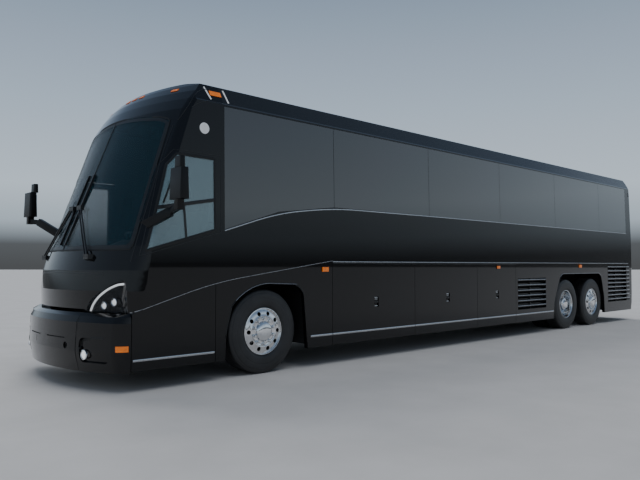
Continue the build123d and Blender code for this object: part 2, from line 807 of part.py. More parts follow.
def rear_cap():
    """Tail moulding with the engine door opening and recesses for the lamps."""
    with BuildPart() as piece:
        add(TAIL_SKIN)
        with BuildSketch(Plane.XZ):
            side_box(TAIL_X - 50, TAIL_JOINT_X + 1, BUMPER_Z - 20, REAR_BUMPER_TOP_Z + PANEL_GAP)
        extrude(amount=WIDTH, both=True, mode=Mode.SUBTRACT)
        with BuildSketch(Plane.YZ.offset(TAIL_X - 50)):
            side_box(-ENGINE_DOOR_HALF_W - PANEL_GAP, ENGINE_DOOR_HALF_W + PANEL_GAP,
                     ENGINE_DOOR_BOTTOM_Z - PANEL_GAP, ENGINE_DOOR_TOP_Z + 5)
            side_box(-REAR_WINDOW_HALF_W, REAR_WINDOW_HALF_W, REAR_WINDOW_BOTTOM_Z, REAR_WINDOW_TOP_Z)
            for side in (-1, 1):
                for z in TAIL_LAMP_Z:
                    with Locations((side * TAIL_LAMP_Y, z)):
                        Rectangle(TAIL_LAMP_W, TAIL_LAMP_H)
        extrude(amount=200, mode=Mode.SUBTRACT)
        with BuildSketch(Plane.XZ):
            for z in REAR_VENT_Z:
                with Locations((REAR_VENT_X, z)):
                    Rectangle(REAR_VENT_W, REAR_VENT_H)
        extrude(amount=WIDTH, both=True, mode=Mode.SUBTRACT)
        with Locations(Location((TAIL_X, 0, ENGINE_DOOR_TOP_Z), (90, 0, 0))):
            Cylinder(HINGE_R + SEAT_GAP, 2 * ENGINE_DOOR_HALF_W + 2, mode=Mode.SUBTRACT)
    return piece.part


def rear_bumper():
    with BuildPart() as piece:
        add(TAIL_SKIN)
        with BuildSketch(Plane.XZ):
            side_box(TAIL_X - 50, TAIL_JOINT_X + 1, SKIRT_Z, REAR_BUMPER_TOP_Z)
        extrude(amount=WIDTH, both=True, mode=Mode.INTERSECT)
        with Locations((TAIL_X + PLATE_RECESS - 50, 0, PLATE_Z)):
            Box(100, PLATE_W, PLATE_H, mode=Mode.SUBTRACT)
        with BuildSketch(Plane.YZ.offset(TAIL_X)):
            with Locations((0, PLATE_Z)):
                with GridLocations(PLATE_HOLES_Y, PLATE_HOLES_Z, 2, 2):
                    Circle(PLATE_HOLE_R)
        extrude(amount=200, mode=Mode.SUBTRACT)
    return piece.part


def rear_window():
    with BuildPart() as piece:
        add(TAIL_OUTER - tail_form(GLASS))
        with BuildSketch(Plane.YZ.offset(TAIL_X - 50)):
            side_box(-REAR_WINDOW_HALF_W, REAR_WINDOW_HALF_W, REAR_WINDOW_BOTTOM_Z, REAR_WINDOW_TOP_Z)
        extrude(amount=400, mode=Mode.INTERSECT)
    return piece.part


def tail_lamps():
    with BuildPart() as lamps:
        for side in (-1, 1):
            for z in TAIL_LAMP_Z:
                with Locations((TAIL_X + WALL / 2 + 4, side * TAIL_LAMP_Y, z)):
                    Box(WALL - 10, TAIL_LAMP_W - 0.6, TAIL_LAMP_H - 0.6)
    return lamps.part


def engine_door():
    """Top-hinged door over the engine, its barrel on the outer skin."""
    with BuildPart() as door:
        with Locations((TAIL_X + WALL / 2, 0, (ENGINE_DOOR_BOTTOM_Z + ENGINE_DOOR_TOP_Z) / 2)):
            Box(WALL, 2 * ENGINE_DOOR_HALF_W, ENGINE_DOOR_TOP_Z - ENGINE_DOOR_BOTTOM_Z)
        with Locations(Location((TAIL_X, 0, ENGINE_DOOR_TOP_Z), (90, 0, 0))):
            Cylinder(HINGE_R, 2 * ENGINE_DOOR_HALF_W)
        with Locations((TAIL_X - WALL, 0, ENGINE_DOOR_TOP_Z)):
            Box(2 * WALL, WIDTH, 4 * HINGE_R, mode=Mode.SUBTRACT)
        pitch = (ENGINE_GRILLE_TOP_Z - ENGINE_GRILLE_BOTTOM_Z) / ENGINE_GRILLE_SLOTS
        with BuildSketch(Plane.YZ.offset(TAIL_X - 50)):
            for k in range(ENGINE_GRILLE_SLOTS):
                with Locations((0, ENGINE_GRILLE_BOTTOM_Z + pitch * (k + 0.5))):
                    Rectangle(2 * ENGINE_GRILLE_HALF_W, pitch * 0.55)
        extrude(amount=200, mode=Mode.SUBTRACT)
    return door.part


def bay_door(side, index):
    """Top-hinged luggage door, its barrel along the outer skin at the belt."""
    x_low = FRONT_X - BAY_JOINTS[index + 1] + PANEL_GAP / 2
    x_high = FRONT_X - BAY_JOINTS[index] - PANEL_GAP / 2
    mid = (x_low + x_high) / 2
    with BuildPart() as door:
        with Locations((mid, side * (HALF_W - WALL / 2), (DOOR_BOTTOM_Z + BELT_Z) / 2)):
            Box(x_high - x_low, WALL, BELT_Z - DOOR_BOTTOM_Z)
        with Locations((mid, side * HALF_W, HANDLE_Z)):
            Box(HANDLE_W, 40, HANDLE_H, mode=Mode.SUBTRACT)
        with Locations((mid, side * (HALF_W - 12), HANDLE_Z)):
            Box(HANDLE_W, 16, 30)
        with Locations(Location((mid, side * HALF_W, BELT_Z), (0, 90, 0))):
            Cylinder(HINGE_R, x_high - x_low)
        if x_low < FRONT_X - DOOR_MARKER_STATION < x_high:
            with Locations((FRONT_X - DOOR_MARKER_STATION, side * (HALF_W + 4), DOOR_MARKER_Z)):
                Box(120, 12, 60)
    return door.part


def entrance_door():
    """Swing door on the right side with a window, hinged at its front edge."""
    with BuildPart() as upper:
        add(NOSE_SKIN)
        with BuildSketch(Plane.XZ):
            add(crease_region(600))
        extrude(amount=WIDTH, both=True, mode=Mode.SUBTRACT)
    with BuildPart() as lower:
        add(SIDE_SKIN)
        with BuildSketch(Plane.XZ):
            add(lower_region())
        extrude(amount=WIDTH, both=True, mode=Mode.INTERSECT)
    with BuildPart() as door:
        add(upper.part)
        add(lower.part)
        with BuildSketch(Plane.XZ.offset(HALF_W * 0.8)):
            add(entry_outline(0))
        extrude(amount=HALF_W, mode=Mode.INTERSECT)
        with BuildSketch(Plane.XZ.offset(HALF_W * 0.8)):
            add(entry_window(0))
        extrude(amount=HALF_W, mode=Mode.SUBTRACT)
        for z in ENTRY_HINGE_Z:
            with Locations(Location((ENTRY_FRONT_X, -HALF_W, z), (0, 0, 90))):
                Cylinder(ENTRY_HINGE_R, ENTRY_HINGE_LEN)
    return door.part


def entry_window(shrink):
    """Window of the entrance door seen from the side."""
    x_low = ENTRY_REAR_X + ENTRY_FRAME + shrink
    with BuildSketch() as area:
        with BuildLine():
            Polyline((x_low, ENTRY_WINDOW_Z), (ENTRY_FRONT_X - ENTRY_FRAME, ENTRY_WINDOW_Z),
                     (ENTRY_FRONT_X - ENTRY_FRAME - 30, 1500),
                     (ENTRY_FRONT_X - 2.2 * ENTRY_FRAME - 330, ENTRY_TOP_Z - ENTRY_FRAME),
                     (x_low, ENTRY_TOP_Z - ENTRY_FRAME), close=True)
        make_face()
    return area.sketch


def entrance_door_glass():
    """Pane of the entrance door, flush with its outside."""
    with BuildPart() as glass:
        add(NOSE_GLAZING)
        with BuildSketch(Plane.XZ.offset(HALF_W * 0.8)):
            add(entry_window(0))
        extrude(amount=HALF_W, mode=Mode.INTERSECT)
    return glass.part


def slab(x_low, x_high, y_low, y_high, z_low, z_high, mode=Mode.ADD):
    """Rectangular block given by its corners, inside a BuildPart block."""
    with Locations(((x_low + x_high) / 2, (y_low + y_high) / 2, (z_low + z_high) / 2)):
        Box(x_high - x_low, y_high - y_low, z_high - z_low, mode=mode)


INNER_Y = HALF_W - WALL


def cabin_floor():
    """Passenger floor, driver's platform and entrance steps as one stepped structure."""
    edge = INNER_Y
    with BuildPart() as floor:
        slab(TAIL_JOINT_X + 60, AISLE_STEP_X, -edge, edge, FLOOR_Z - FLOOR_T, FLOOR_Z)
        slab(TAIL_X + WALL + 2, TAIL_JOINT_X + 60, -REAR_FLOOR_HALF_W, REAR_FLOOR_HALF_W,
             FLOOR_Z - FLOOR_T, FLOOR_Z)
        slab(REAR_SHELF_X, REAR_SHELF_X + 40, -REAR_FLOOR_HALF_W, REAR_FLOOR_HALF_W, FLOOR_Z, REAR_SHELF_Z)
        slab(AISLE_STEP_X, COCKPIT_X, -edge + 1, edge - 1, AISLE_Z - FLOOR_T, AISLE_Z)
        slab(AISLE_STEP_X, AISLE_STEP_X + 40, -edge + 1, edge - 1, AISLE_Z - FLOOR_T, FLOOR_Z)
        slab(COCKPIT_X, COCKPIT_X + 40, -edge + 1, edge - 1, COCKPIT_Z - FLOOR_T, AISLE_Z)
        slab(COCKPIT_X, COCKPIT_CORNER_X, STEP_INNER_Y, edge - 1, COCKPIT_Z - FLOOR_T, COCKPIT_Z)
        slab(COCKPIT_CORNER_X, COCKPIT_FRONT_X, STEP_INNER_Y, 1100, COCKPIT_Z - FLOOR_T, COCKPIT_Z)
        run = (edge - 5 + STEP_INNER_Y) / ENTRY_STEPS
        rise = (COCKPIT_Z - ENTRY_BOTTOM_Z) / ENTRY_STEPS
        for k in range(ENTRY_STEPS):
            z = ENTRY_BOTTOM_Z + rise * k
            y = -edge + 5 + run * k
            slab(ENTRY_REAR_X, ENTRY_FRONT_X - 60, y, y + run + 40, z - 40, z)
            slab(ENTRY_REAR_X, ENTRY_FRONT_X - 60, y + run, y + run + 40, z - 40, z + rise - 10)
    return floor.part


def bay_structure():
    """Bulkheads between the luggage bays and the bay floor, with the wheelhouse ends."""
    edge = INNER_Y - 6
    with BuildPart() as structure:
        front = FRONT_X - BAY_JOINTS[0]
        rear = FRONT_X - BAY_JOINTS[-1]
        slab(rear, front + 20, -edge, edge, BAY_FLOOR_Z - 40, BAY_FLOOR_Z)
        for joint in BAY_JOINTS:
            x = FRONT_X - joint
            slab(x - 20, x + 20, -edge, edge, BAY_FLOOR_Z, FLOOR_Z - FLOOR_T)
    return structure.part


def underframe():
    """Ladder of rails under the floor that carries the axles, the engine and the bumpers."""
    beam_x = TOW_FACE_X - TOW_DEPTH - SEAT_GAP
    with BuildPart() as brackets:
        for y in (-250, 250):
            slab(beam_x - BUMPER_BEAM_T, NOSE_X, y - 25, y + 25, TOW_Z - 40, TOW_Z + 40)
        add(nose_form(BUMPER_SECTIONS, WALL + SEAT_GAP), mode=Mode.INTERSECT)
    with BuildPart() as frame:
        for y in (-RAIL_Y, RAIL_Y):
            slab(FRONT_X - BAY_JOINTS[0] + 20, beam_x, y - 40, y + 40, RAIL_Z - 70, RAIL_Z + 70)
            slab(TAIL_X + WALL + 20, FRONT_X - BAY_JOINTS[-1] - 20, y - 40, y + 40, RAIL_Z + 60, RAIL_Z + 200)
            slab(beam_x - BUMPER_BEAM_T, beam_x, y - 40, y + 40, TOW_Z - 50, RAIL_Z)
        for x in (FRONT_RAIL_X - 60, FRONT_X - 900):
            slab(x - 40, x + 40, -RAIL_Y, RAIL_Y, RAIL_Z - 50, RAIL_Z + 50)
        for x in (DRIVE_X + 900, DRIVE_X - 610, TAG_X - 700):
            slab(x - 40, x + 40, -RAIL_Y, RAIL_Y, RAIL_Z + 80, RAIL_Z + 180)
        slab(beam_x - BUMPER_BEAM_T, beam_x, -BUMPER_BEAM_HALF_W, BUMPER_BEAM_HALF_W, TOW_Z - 50, TOW_Z + 50)
        add(brackets.part)
    return frame.part


def towing_socket():
    """Tube against the bumper beam that takes a towing pin, its mouth in the bumper's face."""
    with BuildPart() as tube:
        with BuildSketch(Plane.YZ.offset(TOW_FACE_X - TOW_DEPTH)):
            with Locations((TOW_Y, TOW_Z)):
                Circle(TOW_WALL_R)
                Circle(TOW_R, mode=Mode.SUBTRACT)
        extrude(amount=TOW_DEPTH)
    return tube.part


def wheelhouses():
    """Walls beside and across the wheels' spaces, under the floor, both sides."""
    with BuildPart() as houses:
        for rear_s, front_s, inner_y, across, axle_stations in WHEELHOUSES:
            for side in (-1, 1):
                low, high = sorted((side * (inner_y - WHEELHOUSE_T), side * inner_y))
                wide_low, wide_high = sorted((side * (inner_y - WHEELHOUSE_T), side * (INNER_Y - 2)))
                slab(FRONT_X + rear_s, FRONT_X + front_s, low, high, WHEELHOUSE_LOW_Z,
                     FLOOR_Z - FLOOR_T - SEAT_GAP)
                for station in across:
                    slab(FRONT_X + station, FRONT_X + station + WHEELHOUSE_T, wide_low, wide_high,
                         WHEELHOUSE_LOW_Z, FLOOR_Z - FLOOR_T - SEAT_GAP)
                for station in axle_stations:
                    slab(FRONT_X + station - AXLE_CUT_HALF_W, FRONT_X + station + AXLE_CUT_HALF_W, low, high,
                         0, AXLE_CUT_Z, mode=Mode.SUBTRACT)
        slab(AISLE_STEP_X - SEAT_GAP, NOSE_X, -HALF_W, HALF_W, AISLE_Z - FLOOR_T - SEAT_GAP, FLOOR_Z,
             mode=Mode.SUBTRACT)
    return houses.part


def axles():
    """Front axle beam with kingpin eyes, driven axle with its final drive, tag axle tube, and spring seats."""
    with BuildPart() as beams:
        with Locations(Location((FRONT_X, 0, AXLE_Z - 60), (90, 0, 0))):
            Cylinder(60, 2 * (KINGPIN_Y - 80))
        for side in (-1, 1):
            slab(FRONT_X - 40, FRONT_X + 40, *sorted((side * (KINGPIN_Y - 110), side * (KINGPIN_Y - 70))),
                 AXLE_Z - KINGPIN_H / 2 - 25, AXLE_Z + KINGPIN_H / 2 + 25)
            for z in (-1, 1):
                slab(FRONT_X - 40, FRONT_X + 40, *sorted((side * (KINGPIN_Y - 100), side * (KINGPIN_Y + 40))),
                     AXLE_Z + z * KINGPIN_H / 2 - 25, AXLE_Z + z * KINGPIN_H / 2 + 25)
            with Locations((FRONT_X, side * KINGPIN_Y, AXLE_Z)):
                Cylinder(KINGPIN_R + SEAT_GAP, KINGPIN_H + 100, mode=Mode.SUBTRACT)
        mate = WHEEL_FACE_Y + TYRE_BULGE - TYRE_W / 2 - TWIN_SPACING / 2
        for x, bowl, tube_end, spindle_end in (
            (DRIVE_X, 220, mate - 60, mate + 35),
            (TAG_X, 0, WHEEL_FACE_Y - 140, WHEEL_FACE_Y - 65),
        ):
            with Locations(Location((x, 0, AXLE_Z), (90, 0, 0))):
                Cylinder(70, 2 * tube_end)
                Cylinder(SPINDLE_R, 2 * spindle_end)
            if bowl:
                with Locations(Location((x, 0, AXLE_Z), (90, 0, 0))):
                    Cylinder(bowl, bowl)
        for x, axle_z, rail_low in (
            (FRONT_X, AXLE_Z - 60, RAIL_Z - 70),
            (DRIVE_X, AXLE_Z, RAIL_Z + 60),
            (TAG_X, AXLE_Z, RAIL_Z + 60),
        ):
            for y in (-RAIL_Y, RAIL_Y):
                slab(x - SPRING_SEAT / 2, x + SPRING_SEAT / 2, y - 38, y + 38, axle_z, rail_low - SEAT_GAP)
    return beams.part


def knuckle(side):
    """Steering knuckle: kingpin, upright and spindle."""
    with BuildPart() as piece:
        with Locations((FRONT_X, side * KINGPIN_Y, AXLE_Z)):
            Cylinder(KINGPIN_R, KINGPIN_H + 80)
            Cylinder(KINGPIN_R + 28, KINGPIN_H - 60)
        spindle_end = WHEEL_FACE_Y - 65
        with Locations(Location((FRONT_X, side * (KINGPIN_Y + spindle_end) / 2, AXLE_Z), (90, 0, 0))):
            Cylinder(SPINDLE_R, spindle_end - KINGPIN_Y)
    return piece.part


def tyre_profile(y_outer, side):
    """Half-section of a tyre in the YZ plane, its outer sidewall at y_outer."""
    crown = TYRE_R
    y_inner = y_outer - TYRE_W
    def at(y, r):
        return (side * y, AXLE_Z + r)
    with BuildSketch() as area:
        with BuildLine():
            Polyline(at(y_outer - 25, RIM_R), at(y_outer, RIM_R + 90), at(y_outer - 4, crown - 60),
                     at(y_outer - 22, crown - 10), at(y_outer - 40, crown), at(y_inner + 40, crown),
                     at(y_inner + 22, crown - 10), at(y_inner + 4, crown - 60), at(y_inner, RIM_R + 90),
                     at(y_inner + 25, RIM_R), close=True)
        make_face()
    return area.sketch


def wheel_axis(x):
    return Axis((x, 0, AXLE_Z), (0, 1, 0))


def tyre(x, side, twin=False):
    with BuildPart() as piece:
        with BuildSketch(Plane.YZ.offset(x)):
            add(tyre_profile(WHEEL_FACE_Y + TYRE_BULGE, side))
            if twin:
                add(tyre_profile(WHEEL_FACE_Y + TYRE_BULGE - TWIN_SPACING, side))
        revolve(axis=wheel_axis(x))
    return piece.part


def single_rim_profile(side):
    """Half-section of a wheel whose disc bulges outwards, with its hub and the spindle's bore."""
    def at(y, r):
        return (side * (WHEEL_FACE_Y + y), AXLE_Z + r)
    r = RIM_R - SEAT_GAP
    bore = SPINDLE_R + SEAT_GAP
    with BuildSketch() as area:
        with BuildLine():
            Polyline(at(0, r), at(-45, r - 32), at(-22, DISC_R), at(-22, LUG_RING_R), at(-8, LUG_RING_R),
                     at(-8, HUB_R), at(40, HUB_R - 25), at(40, 0), at(-60, 0), at(-60, bore),
                     at(-110, bore), at(-110, HUB_R - 20), at(-50, HUB_R), at(-50, r - 45),
                     at(-RIM_W + 30, r - 45), at(-RIM_W, r), close=True)
        make_face()
    return area.sketch


def twin_rim_profile(side, inner):
    """Half-section of one of two wheels bolted disc to disc; the outer one carries the hub."""
    mate = WHEEL_FACE_Y + TYRE_BULGE - TYRE_W / 2 - TWIN_SPACING / 2
    flip = -1 if inner else 1

    def at(y, r):
        return (side * (mate + flip * y), AXLE_Z + r)
    r = RIM_R - SEAT_GAP
    bore = SPINDLE_R + SEAT_GAP
    face = WHEEL_FACE_Y - mate
    back = face - RIM_W
    if inner:
        hub = [at(22, HUB_R), at(22, bore), at(0, bore)]
    else:
        hub = [at(22, HUB_R), at(150, HUB_R), at(190, HUB_R - 50), at(190, 0), at(40, 0), at(40, bore),
               at(0, bore)]
    with BuildSketch() as area:
        with BuildLine():
            Polyline(at(face, r), at(face - 45, r - 32), at(back + 60, r - 40), at(22, HAND_HOLE_PCR + 44), *hub,
                     at(0, HAND_HOLE_PCR + 50), at(back, r - 34), at(back, r), close=True)
        make_face()
    return area.sketch


def rim(x, side, twin=False):
    """Wheel without its tyre, with ten round hand holes."""
    with BuildPart() as piece:
        with BuildSketch(Plane.YZ.offset(x)):
            if twin:
                add(twin_rim_profile(side, False))
                add(twin_rim_profile(side, True))
            else:
                add(single_rim_profile(side))
        revolve(axis=wheel_axis(x))
        with BuildSketch(Plane.XZ.offset(-side * (WHEEL_FACE_Y + 60))):
            with Locations((x, AXLE_Z)):
                with PolarLocations(HAND_HOLE_PCR, HAND_HOLES):
                    Circle(HAND_HOLE_R)
        extrude(amount=side * 800, mode=Mode.SUBTRACT)
    return piece.part


def seat_rows(side):
    """One side's rows of double seats on their rails, joined by the rails."""
    inner, outer = SEAT_AISLE_Y, INNER_Y - 30
    first = SEAT_FIRST_X
    with BuildPart() as rows:
        for y in (inner + 80, outer - 120):
            low, high = sorted((side * y, side * (y + 50)))
            slab(first - SEAT_PITCH * (SEAT_ROWS - 1) - 480, first, low, high, FLOOR_Z + SEAT_GAP, FLOOR_Z + 30)
        for k in range(SEAT_ROWS):
            x = first - SEAT_PITCH * k
            low, high = sorted((side * inner, side * outer))
            slab(x - 470, x, low, high, FLOOR_Z + 320, FLOOR_Z + 450)
            with BuildSketch(Plane.XZ.offset(-high)):
                with BuildLine():
                    Polyline((x - 380, FLOOR_Z + 400), (x - 500, FLOOR_Z + 400), (x - 640, FLOOR_Z + 1120),
                             (x - 560, FLOOR_Z + 1150), close=True)
                make_face()
            extrude(amount=high - low)
            for y in (inner + 80, outer - 120):
                leg_low, leg_high = sorted((side * y, side * (y + 50)))
                slab(x - 400, x - 80, leg_low, leg_high, FLOOR_Z + 20, FLOOR_Z + 340)
    return rows.part


def driver_seat():
    x, y = DRIVER_SEAT_X, DRIVER_SEAT_Y
    with BuildPart() as seat:
        slab(x - 200, x + 200, y - 180, y + 180, COCKPIT_Z + SEAT_GAP, COCKPIT_Z + 320)
        slab(x - 260, x + 250, y - 250, y + 250, COCKPIT_Z + 320, COCKPIT_Z + 450)
        with BuildSketch(Plane.XZ.offset(-y)):
            with BuildLine():
                Polyline((x - 130, COCKPIT_Z + 440), (x - 260, COCKPIT_Z + 440), (x - 420, COCKPIT_Z + 1150),
                         (x - 320, COCKPIT_Z + 1180), close=True)
            make_face()
        extrude(amount=240, both=True)
    return seat.part


def dashboard():
    with BuildPart() as dash:
        with BuildSketch(Plane.XZ.offset(0)):
            with BuildLine():
                Polyline((DASH_X, COCKPIT_Z + SEAT_GAP), (DASH_X, 1430), (DASH_X + 120, 1480),
                         (DASH_X + 400, 1500), (DASH_X + 430, 1300), (DASH_X + 430, COCKPIT_Z + SEAT_GAP),
                         close=True)
            make_face()
        extrude(amount=1000, both=True)
        add(nose_form(UPPER_SECTIONS, WALL + 3), mode=Mode.INTERSECT)
        slab(DASH_X - 10, DASH_X + 600, -HALF_W, STEP_INNER_Y, 0, 2000, mode=Mode.SUBTRACT)
    return dash.part


def steering_wheel():
    with BuildPart() as wheel:
        tilt = Plane(origin=(DASH_X - 130, DRIVER_SEAT_Y, 1560), z_dir=(-sin(radians(35)), 0, cos(radians(35))))
        with BuildSketch(tilt):
            Circle(230)
            Circle(200, mode=Mode.SUBTRACT)
            Rectangle(410, 60)
            Circle(60)
        extrude(amount=25)
        with BuildSketch(tilt.offset(-230)):
            Circle(35)
        extrude(amount=231)
        add(dashboard(), mode=Mode.SUBTRACT)
    return wheel.part


def engine_block():
    with BuildPart() as block:
        slab(TAIL_X + 250, TAIL_X + 1500, -400, 400, RAIL_Z + 200, FLOOR_Z - FLOOR_T - 60)
    return block.part


def head_lamp_outline():
    """Headlamp unit seen from the side."""
    with BuildSketch() as area:
        with BuildLine():
            Polyline(HEAD_LAMP[3], HEAD_LAMP[0], HEAD_LAMP[1])
            ThreePointArc(*HEAD_LAMP[1:])
        make_face()
    return area.sketch


def head_lamp_space():
    """Room that both headlamp units take in the nose."""
    with BuildPart() as space:
        with BuildSketch(Plane.XZ):
            add(head_lamp_outline())
        extrude(amount=WIDTH, both=True)
        slab(B_POST_X, NOSE_X, -LAMP_INNER_Y, LAMP_INNER_Y, 0, ROOF_Z, mode=Mode.SUBTRACT)
    return space.part


def headlamps():
    """Lamp units set in the corners of the front panel, and the fog lamps in the bumper's pockets."""
    with BuildPart() as fogs:
        add(nose_form(BUMPER_SECTIONS, 4) - nose_form(BUMPER_SECTIONS, BUMPER_RECESS - SEAT_GAP))
        with BuildSketch(Plane.YZ.offset(FRONT_X + 1600)):
            with Locations((-FOG_Y, FOG_Z), (FOG_Y, FOG_Z)):
                Circle(FOG_R)
        extrude(amount=1000, mode=Mode.INTERSECT)
    with BuildPart() as lamps:
        add(NOSE_SKIN)
        add(head_lamp_space(), mode=Mode.INTERSECT)
        for y, z in LENSES:
            for side in (-1, 1):
                with BuildSketch(Plane.YZ.offset(nose_x(z, y) - LENS_DEPTH)):
                    with Locations((side * y, z)):
                        Circle(LENS_R)
                extrude(amount=4 * LENS_R, mode=Mode.SUBTRACT)
        add(fogs.part)
    return lamps.part


def marker_lamps():
    """Amber lamps along the sides, on the bumper's corners, on the cove and over the windscreen."""
    with BuildPart() as signals:
        add(nose_form(BUMPER_SECTIONS, -LENS_PROUD) - nose_form(BUMPER_SECTIONS, -SEAT_GAP))
        with BuildSketch(Plane.XZ):
            side_box(*SIGNAL_X, *SIGNAL_Z)
        extrude(amount=WIDTH, both=True, mode=Mode.INTERSECT)
    with BuildPart() as windows:
        for box in SURFACE_MARKERS:
            slab(*box)
    with BuildPart() as lamps:
        add(NOSE_LENS & windows.part)
        add(signals.part)
        for side in (-1, 1):
            for station, height in SIDE_MARKERS:
                with Locations((FRONT_X - station, side * (HALF_W + 8), height)):
                    Box(110, 16, 60)
    return lamps.part


def mirror_arm(side, points):
    """Moulded arm of straight pieces through the points, each of the section given at its first point."""
    stations = [Vector(FRONT_X + x, side * y, z) for x, y, z, _, _ in points]
    with BuildPart() as arm:
        for start, end, (_, _, _, width, depth) in zip(stations, stations[1:], points):
            along = end - start
            with BuildSketch(Plane(origin=start, x_dir=(-along.Y, along.X, 0), z_dir=along)):
                Rectangle(width, depth)
            extrude(amount=along.length + width / 4)
    return arm.part


def mirrors():
    """Both mirrors: two stacked housings on a post, carried by an arm from the windscreen pillar."""
    with BuildPart() as heads:
        for side, low_x, high_x, base, arm in MIRRORS:
            add(mirror_arm(side, arm))
            add(NOSE_CLEAR, mode=Mode.SUBTRACT)
            foot = arm[-1]
            with Locations((FRONT_X + foot[0], side * MIRROR_Y, (foot[2] + base) / 2 - 10)):
                Box(foot[4], foot[3], base - foot[2] + 60)
            for x, (bottom, height, depth, width) in zip((low_x, high_x), MIRROR_HOUSINGS):
                with BuildSketch(Plane.XY.offset(base + bottom)):
                    with Locations((FRONT_X + x, side * MIRROR_Y)):
                        RectangleRounded(depth, width, MIRROR_CORNER_R)
                extrude(amount=height, taper=2)
            with Locations((FRONT_X + (low_x + high_x) / 2, side * MIRROR_Y, base + MIRROR_HOUSINGS[1][0] - 5)):
                Box(40, 40, 30)
    return heads.part


def wiper(side):
    """Pantograph wiper: blade along the glass, hub, twin arms and the block they swing on."""
    blade_y = WIPER_MID_Y + side * WIPER_BLADE_Y
    pivot_y = WIPER_MID_Y + side * WIPER_PIVOT_Y
    pivot_x = nose_x(WIPER_PIVOT_Z, pivot_y)
    hub_x = nose_x(WIPER_HUB_Z, blade_y)
    low_x = nose_x(WIPER_BLADE_LOW_Z) + SEAT_GAP
    high_x = nose_x(WIPER_BLADE_HIGH_Z) + SEAT_GAP
    with BuildPart() as piece:
        with BuildSketch(Plane.XZ.offset(-blade_y)):
            with BuildLine():
                Polyline((low_x, WIPER_BLADE_LOW_Z), (high_x, WIPER_BLADE_HIGH_Z),
                         (high_x + WIPER_BLADE_T, WIPER_BLADE_HIGH_Z), (low_x + WIPER_BLADE_T, WIPER_BLADE_LOW_Z),
                         close=True)
            make_face()
        extrude(amount=WIPER_BLADE_T / 2, both=True)
        slab(hub_x + 18, hub_x + 58, *sorted((blade_y - side * 18, blade_y + side * 100)),
             WIPER_HUB_Z - 25, WIPER_HUB_Z + 25)
        slab(pivot_x - 60, pivot_x + 45, pivot_y - 62, pivot_y + 62, WIPER_PIVOT_Z - 30, WIPER_PIVOT_Z + 25)
        add(NOSE_CLEAR, mode=Mode.SUBTRACT)
        for k in (0, 1):
            start = Vector(pivot_x + 40, pivot_y + (k - 0.5) * WIPER_ARM_SPACING, WIPER_PIVOT_Z)
            end = Vector(hub_x + 48, blade_y + side * 50 + (k - 0.5) * WIPER_ARM_SPACING, WIPER_HUB_Z)
            with BuildSketch(Plane(origin=start, z_dir=end - start)):
                Circle(WIPER_ARM_R)
            extrude(amount=(end - start).length)
    return piece.part


def wipers():
    """Both wipers."""
    with BuildPart() as pair:
        add(wiper(1))
        add(wiper(-1))
    return pair.part


save(rear_cap(), "rear_cap")
save(rear_bumper(), "rear_bumper")
save(tail_lamps(), "tail_lamps")
save(engine_door(), "engine_door")
for k in range(len(BAY_JOINTS) - 1):
    save(bay_door(1, k), f"bay_door_left_{k + 1}")
    save(bay_door(-1, k), f"bay_door_right_{k + 1}")
save(entrance_door(), "entrance_door")
save(entrance_door_glass(), "entrance_door_glass")
save(cabin_floor(), "cabin_floor")
save(bay_structure(), "bay_structure")
save(underframe(), "underframe")
save(axles(), "axles")
for side, word in ((1, "left"), (-1, "right")):
    save(knuckle(side), f"knuckle_{word}")
    save(tyre(FRONT_X, side), f"tyre_front_{word}")
    save(rim(FRONT_X, side), f"rim_front_{word}")
    save(tyre(DRIVE_X, side, twin=True), f"tyre_drive_{word}")
    save(rim(DRIVE_X, side, twin=True), f"rim_drive_{word}")
    save(tyre(TAG_X, side), f"tyre_tag_{word}")
    save(rim(TAG_X, side), f"rim_tag_{word}")
save(driver_seat(), "driver_seat")
save(dashboard(), "dashboard")
save(steering_wheel(), "steering_wheel")
save(engine_block(), "engine_block")
save(headlamps(), "headlamps")
save(marker_lamps(), "marker_lamps")
save(mirrors(), "mirrors")
save(wipers(), "wipers")
save(towing_socket(), "towing_socket")
save(wheelhouses(), "wheelhouses")
with BuildPart() as seats:
    add(seat_rows(1))
    add(seat_rows(-1))
save(seats.part, "passenger_seats")
save(roof(), "roof")
for wall_side, wall_name in ((1, "wall_left"), (-1, "wall_right")):
    save(wall(wall_side), wall_name)
save(front_cap(), "front_cap")
save(front_panel(), "front_panel")
save(front_bumper(), "front_bumper")
save(windshield(), "windshield")
save(fixed_side_panels(), "side_panels")
save(side_grilles(), "side_grilles")
save(window_glass(), "window_glass")
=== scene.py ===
import json
import math

import bmesh
import bpy
from mathutils import Matrix, Vector
from mathutils.bvhtree import BVHTree


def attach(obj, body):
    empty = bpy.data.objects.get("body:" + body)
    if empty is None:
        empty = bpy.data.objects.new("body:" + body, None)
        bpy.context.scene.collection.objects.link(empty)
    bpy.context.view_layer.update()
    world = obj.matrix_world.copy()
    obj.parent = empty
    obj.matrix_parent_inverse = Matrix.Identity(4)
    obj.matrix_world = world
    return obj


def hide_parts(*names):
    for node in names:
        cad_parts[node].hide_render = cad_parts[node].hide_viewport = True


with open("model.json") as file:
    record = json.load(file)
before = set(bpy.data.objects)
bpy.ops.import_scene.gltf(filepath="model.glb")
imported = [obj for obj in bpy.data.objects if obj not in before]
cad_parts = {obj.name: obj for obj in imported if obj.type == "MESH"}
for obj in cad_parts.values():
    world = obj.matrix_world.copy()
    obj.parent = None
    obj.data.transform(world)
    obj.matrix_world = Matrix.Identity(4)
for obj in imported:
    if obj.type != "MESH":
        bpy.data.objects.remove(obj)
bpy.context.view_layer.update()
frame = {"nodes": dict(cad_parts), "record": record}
nodes = frame["nodes"]

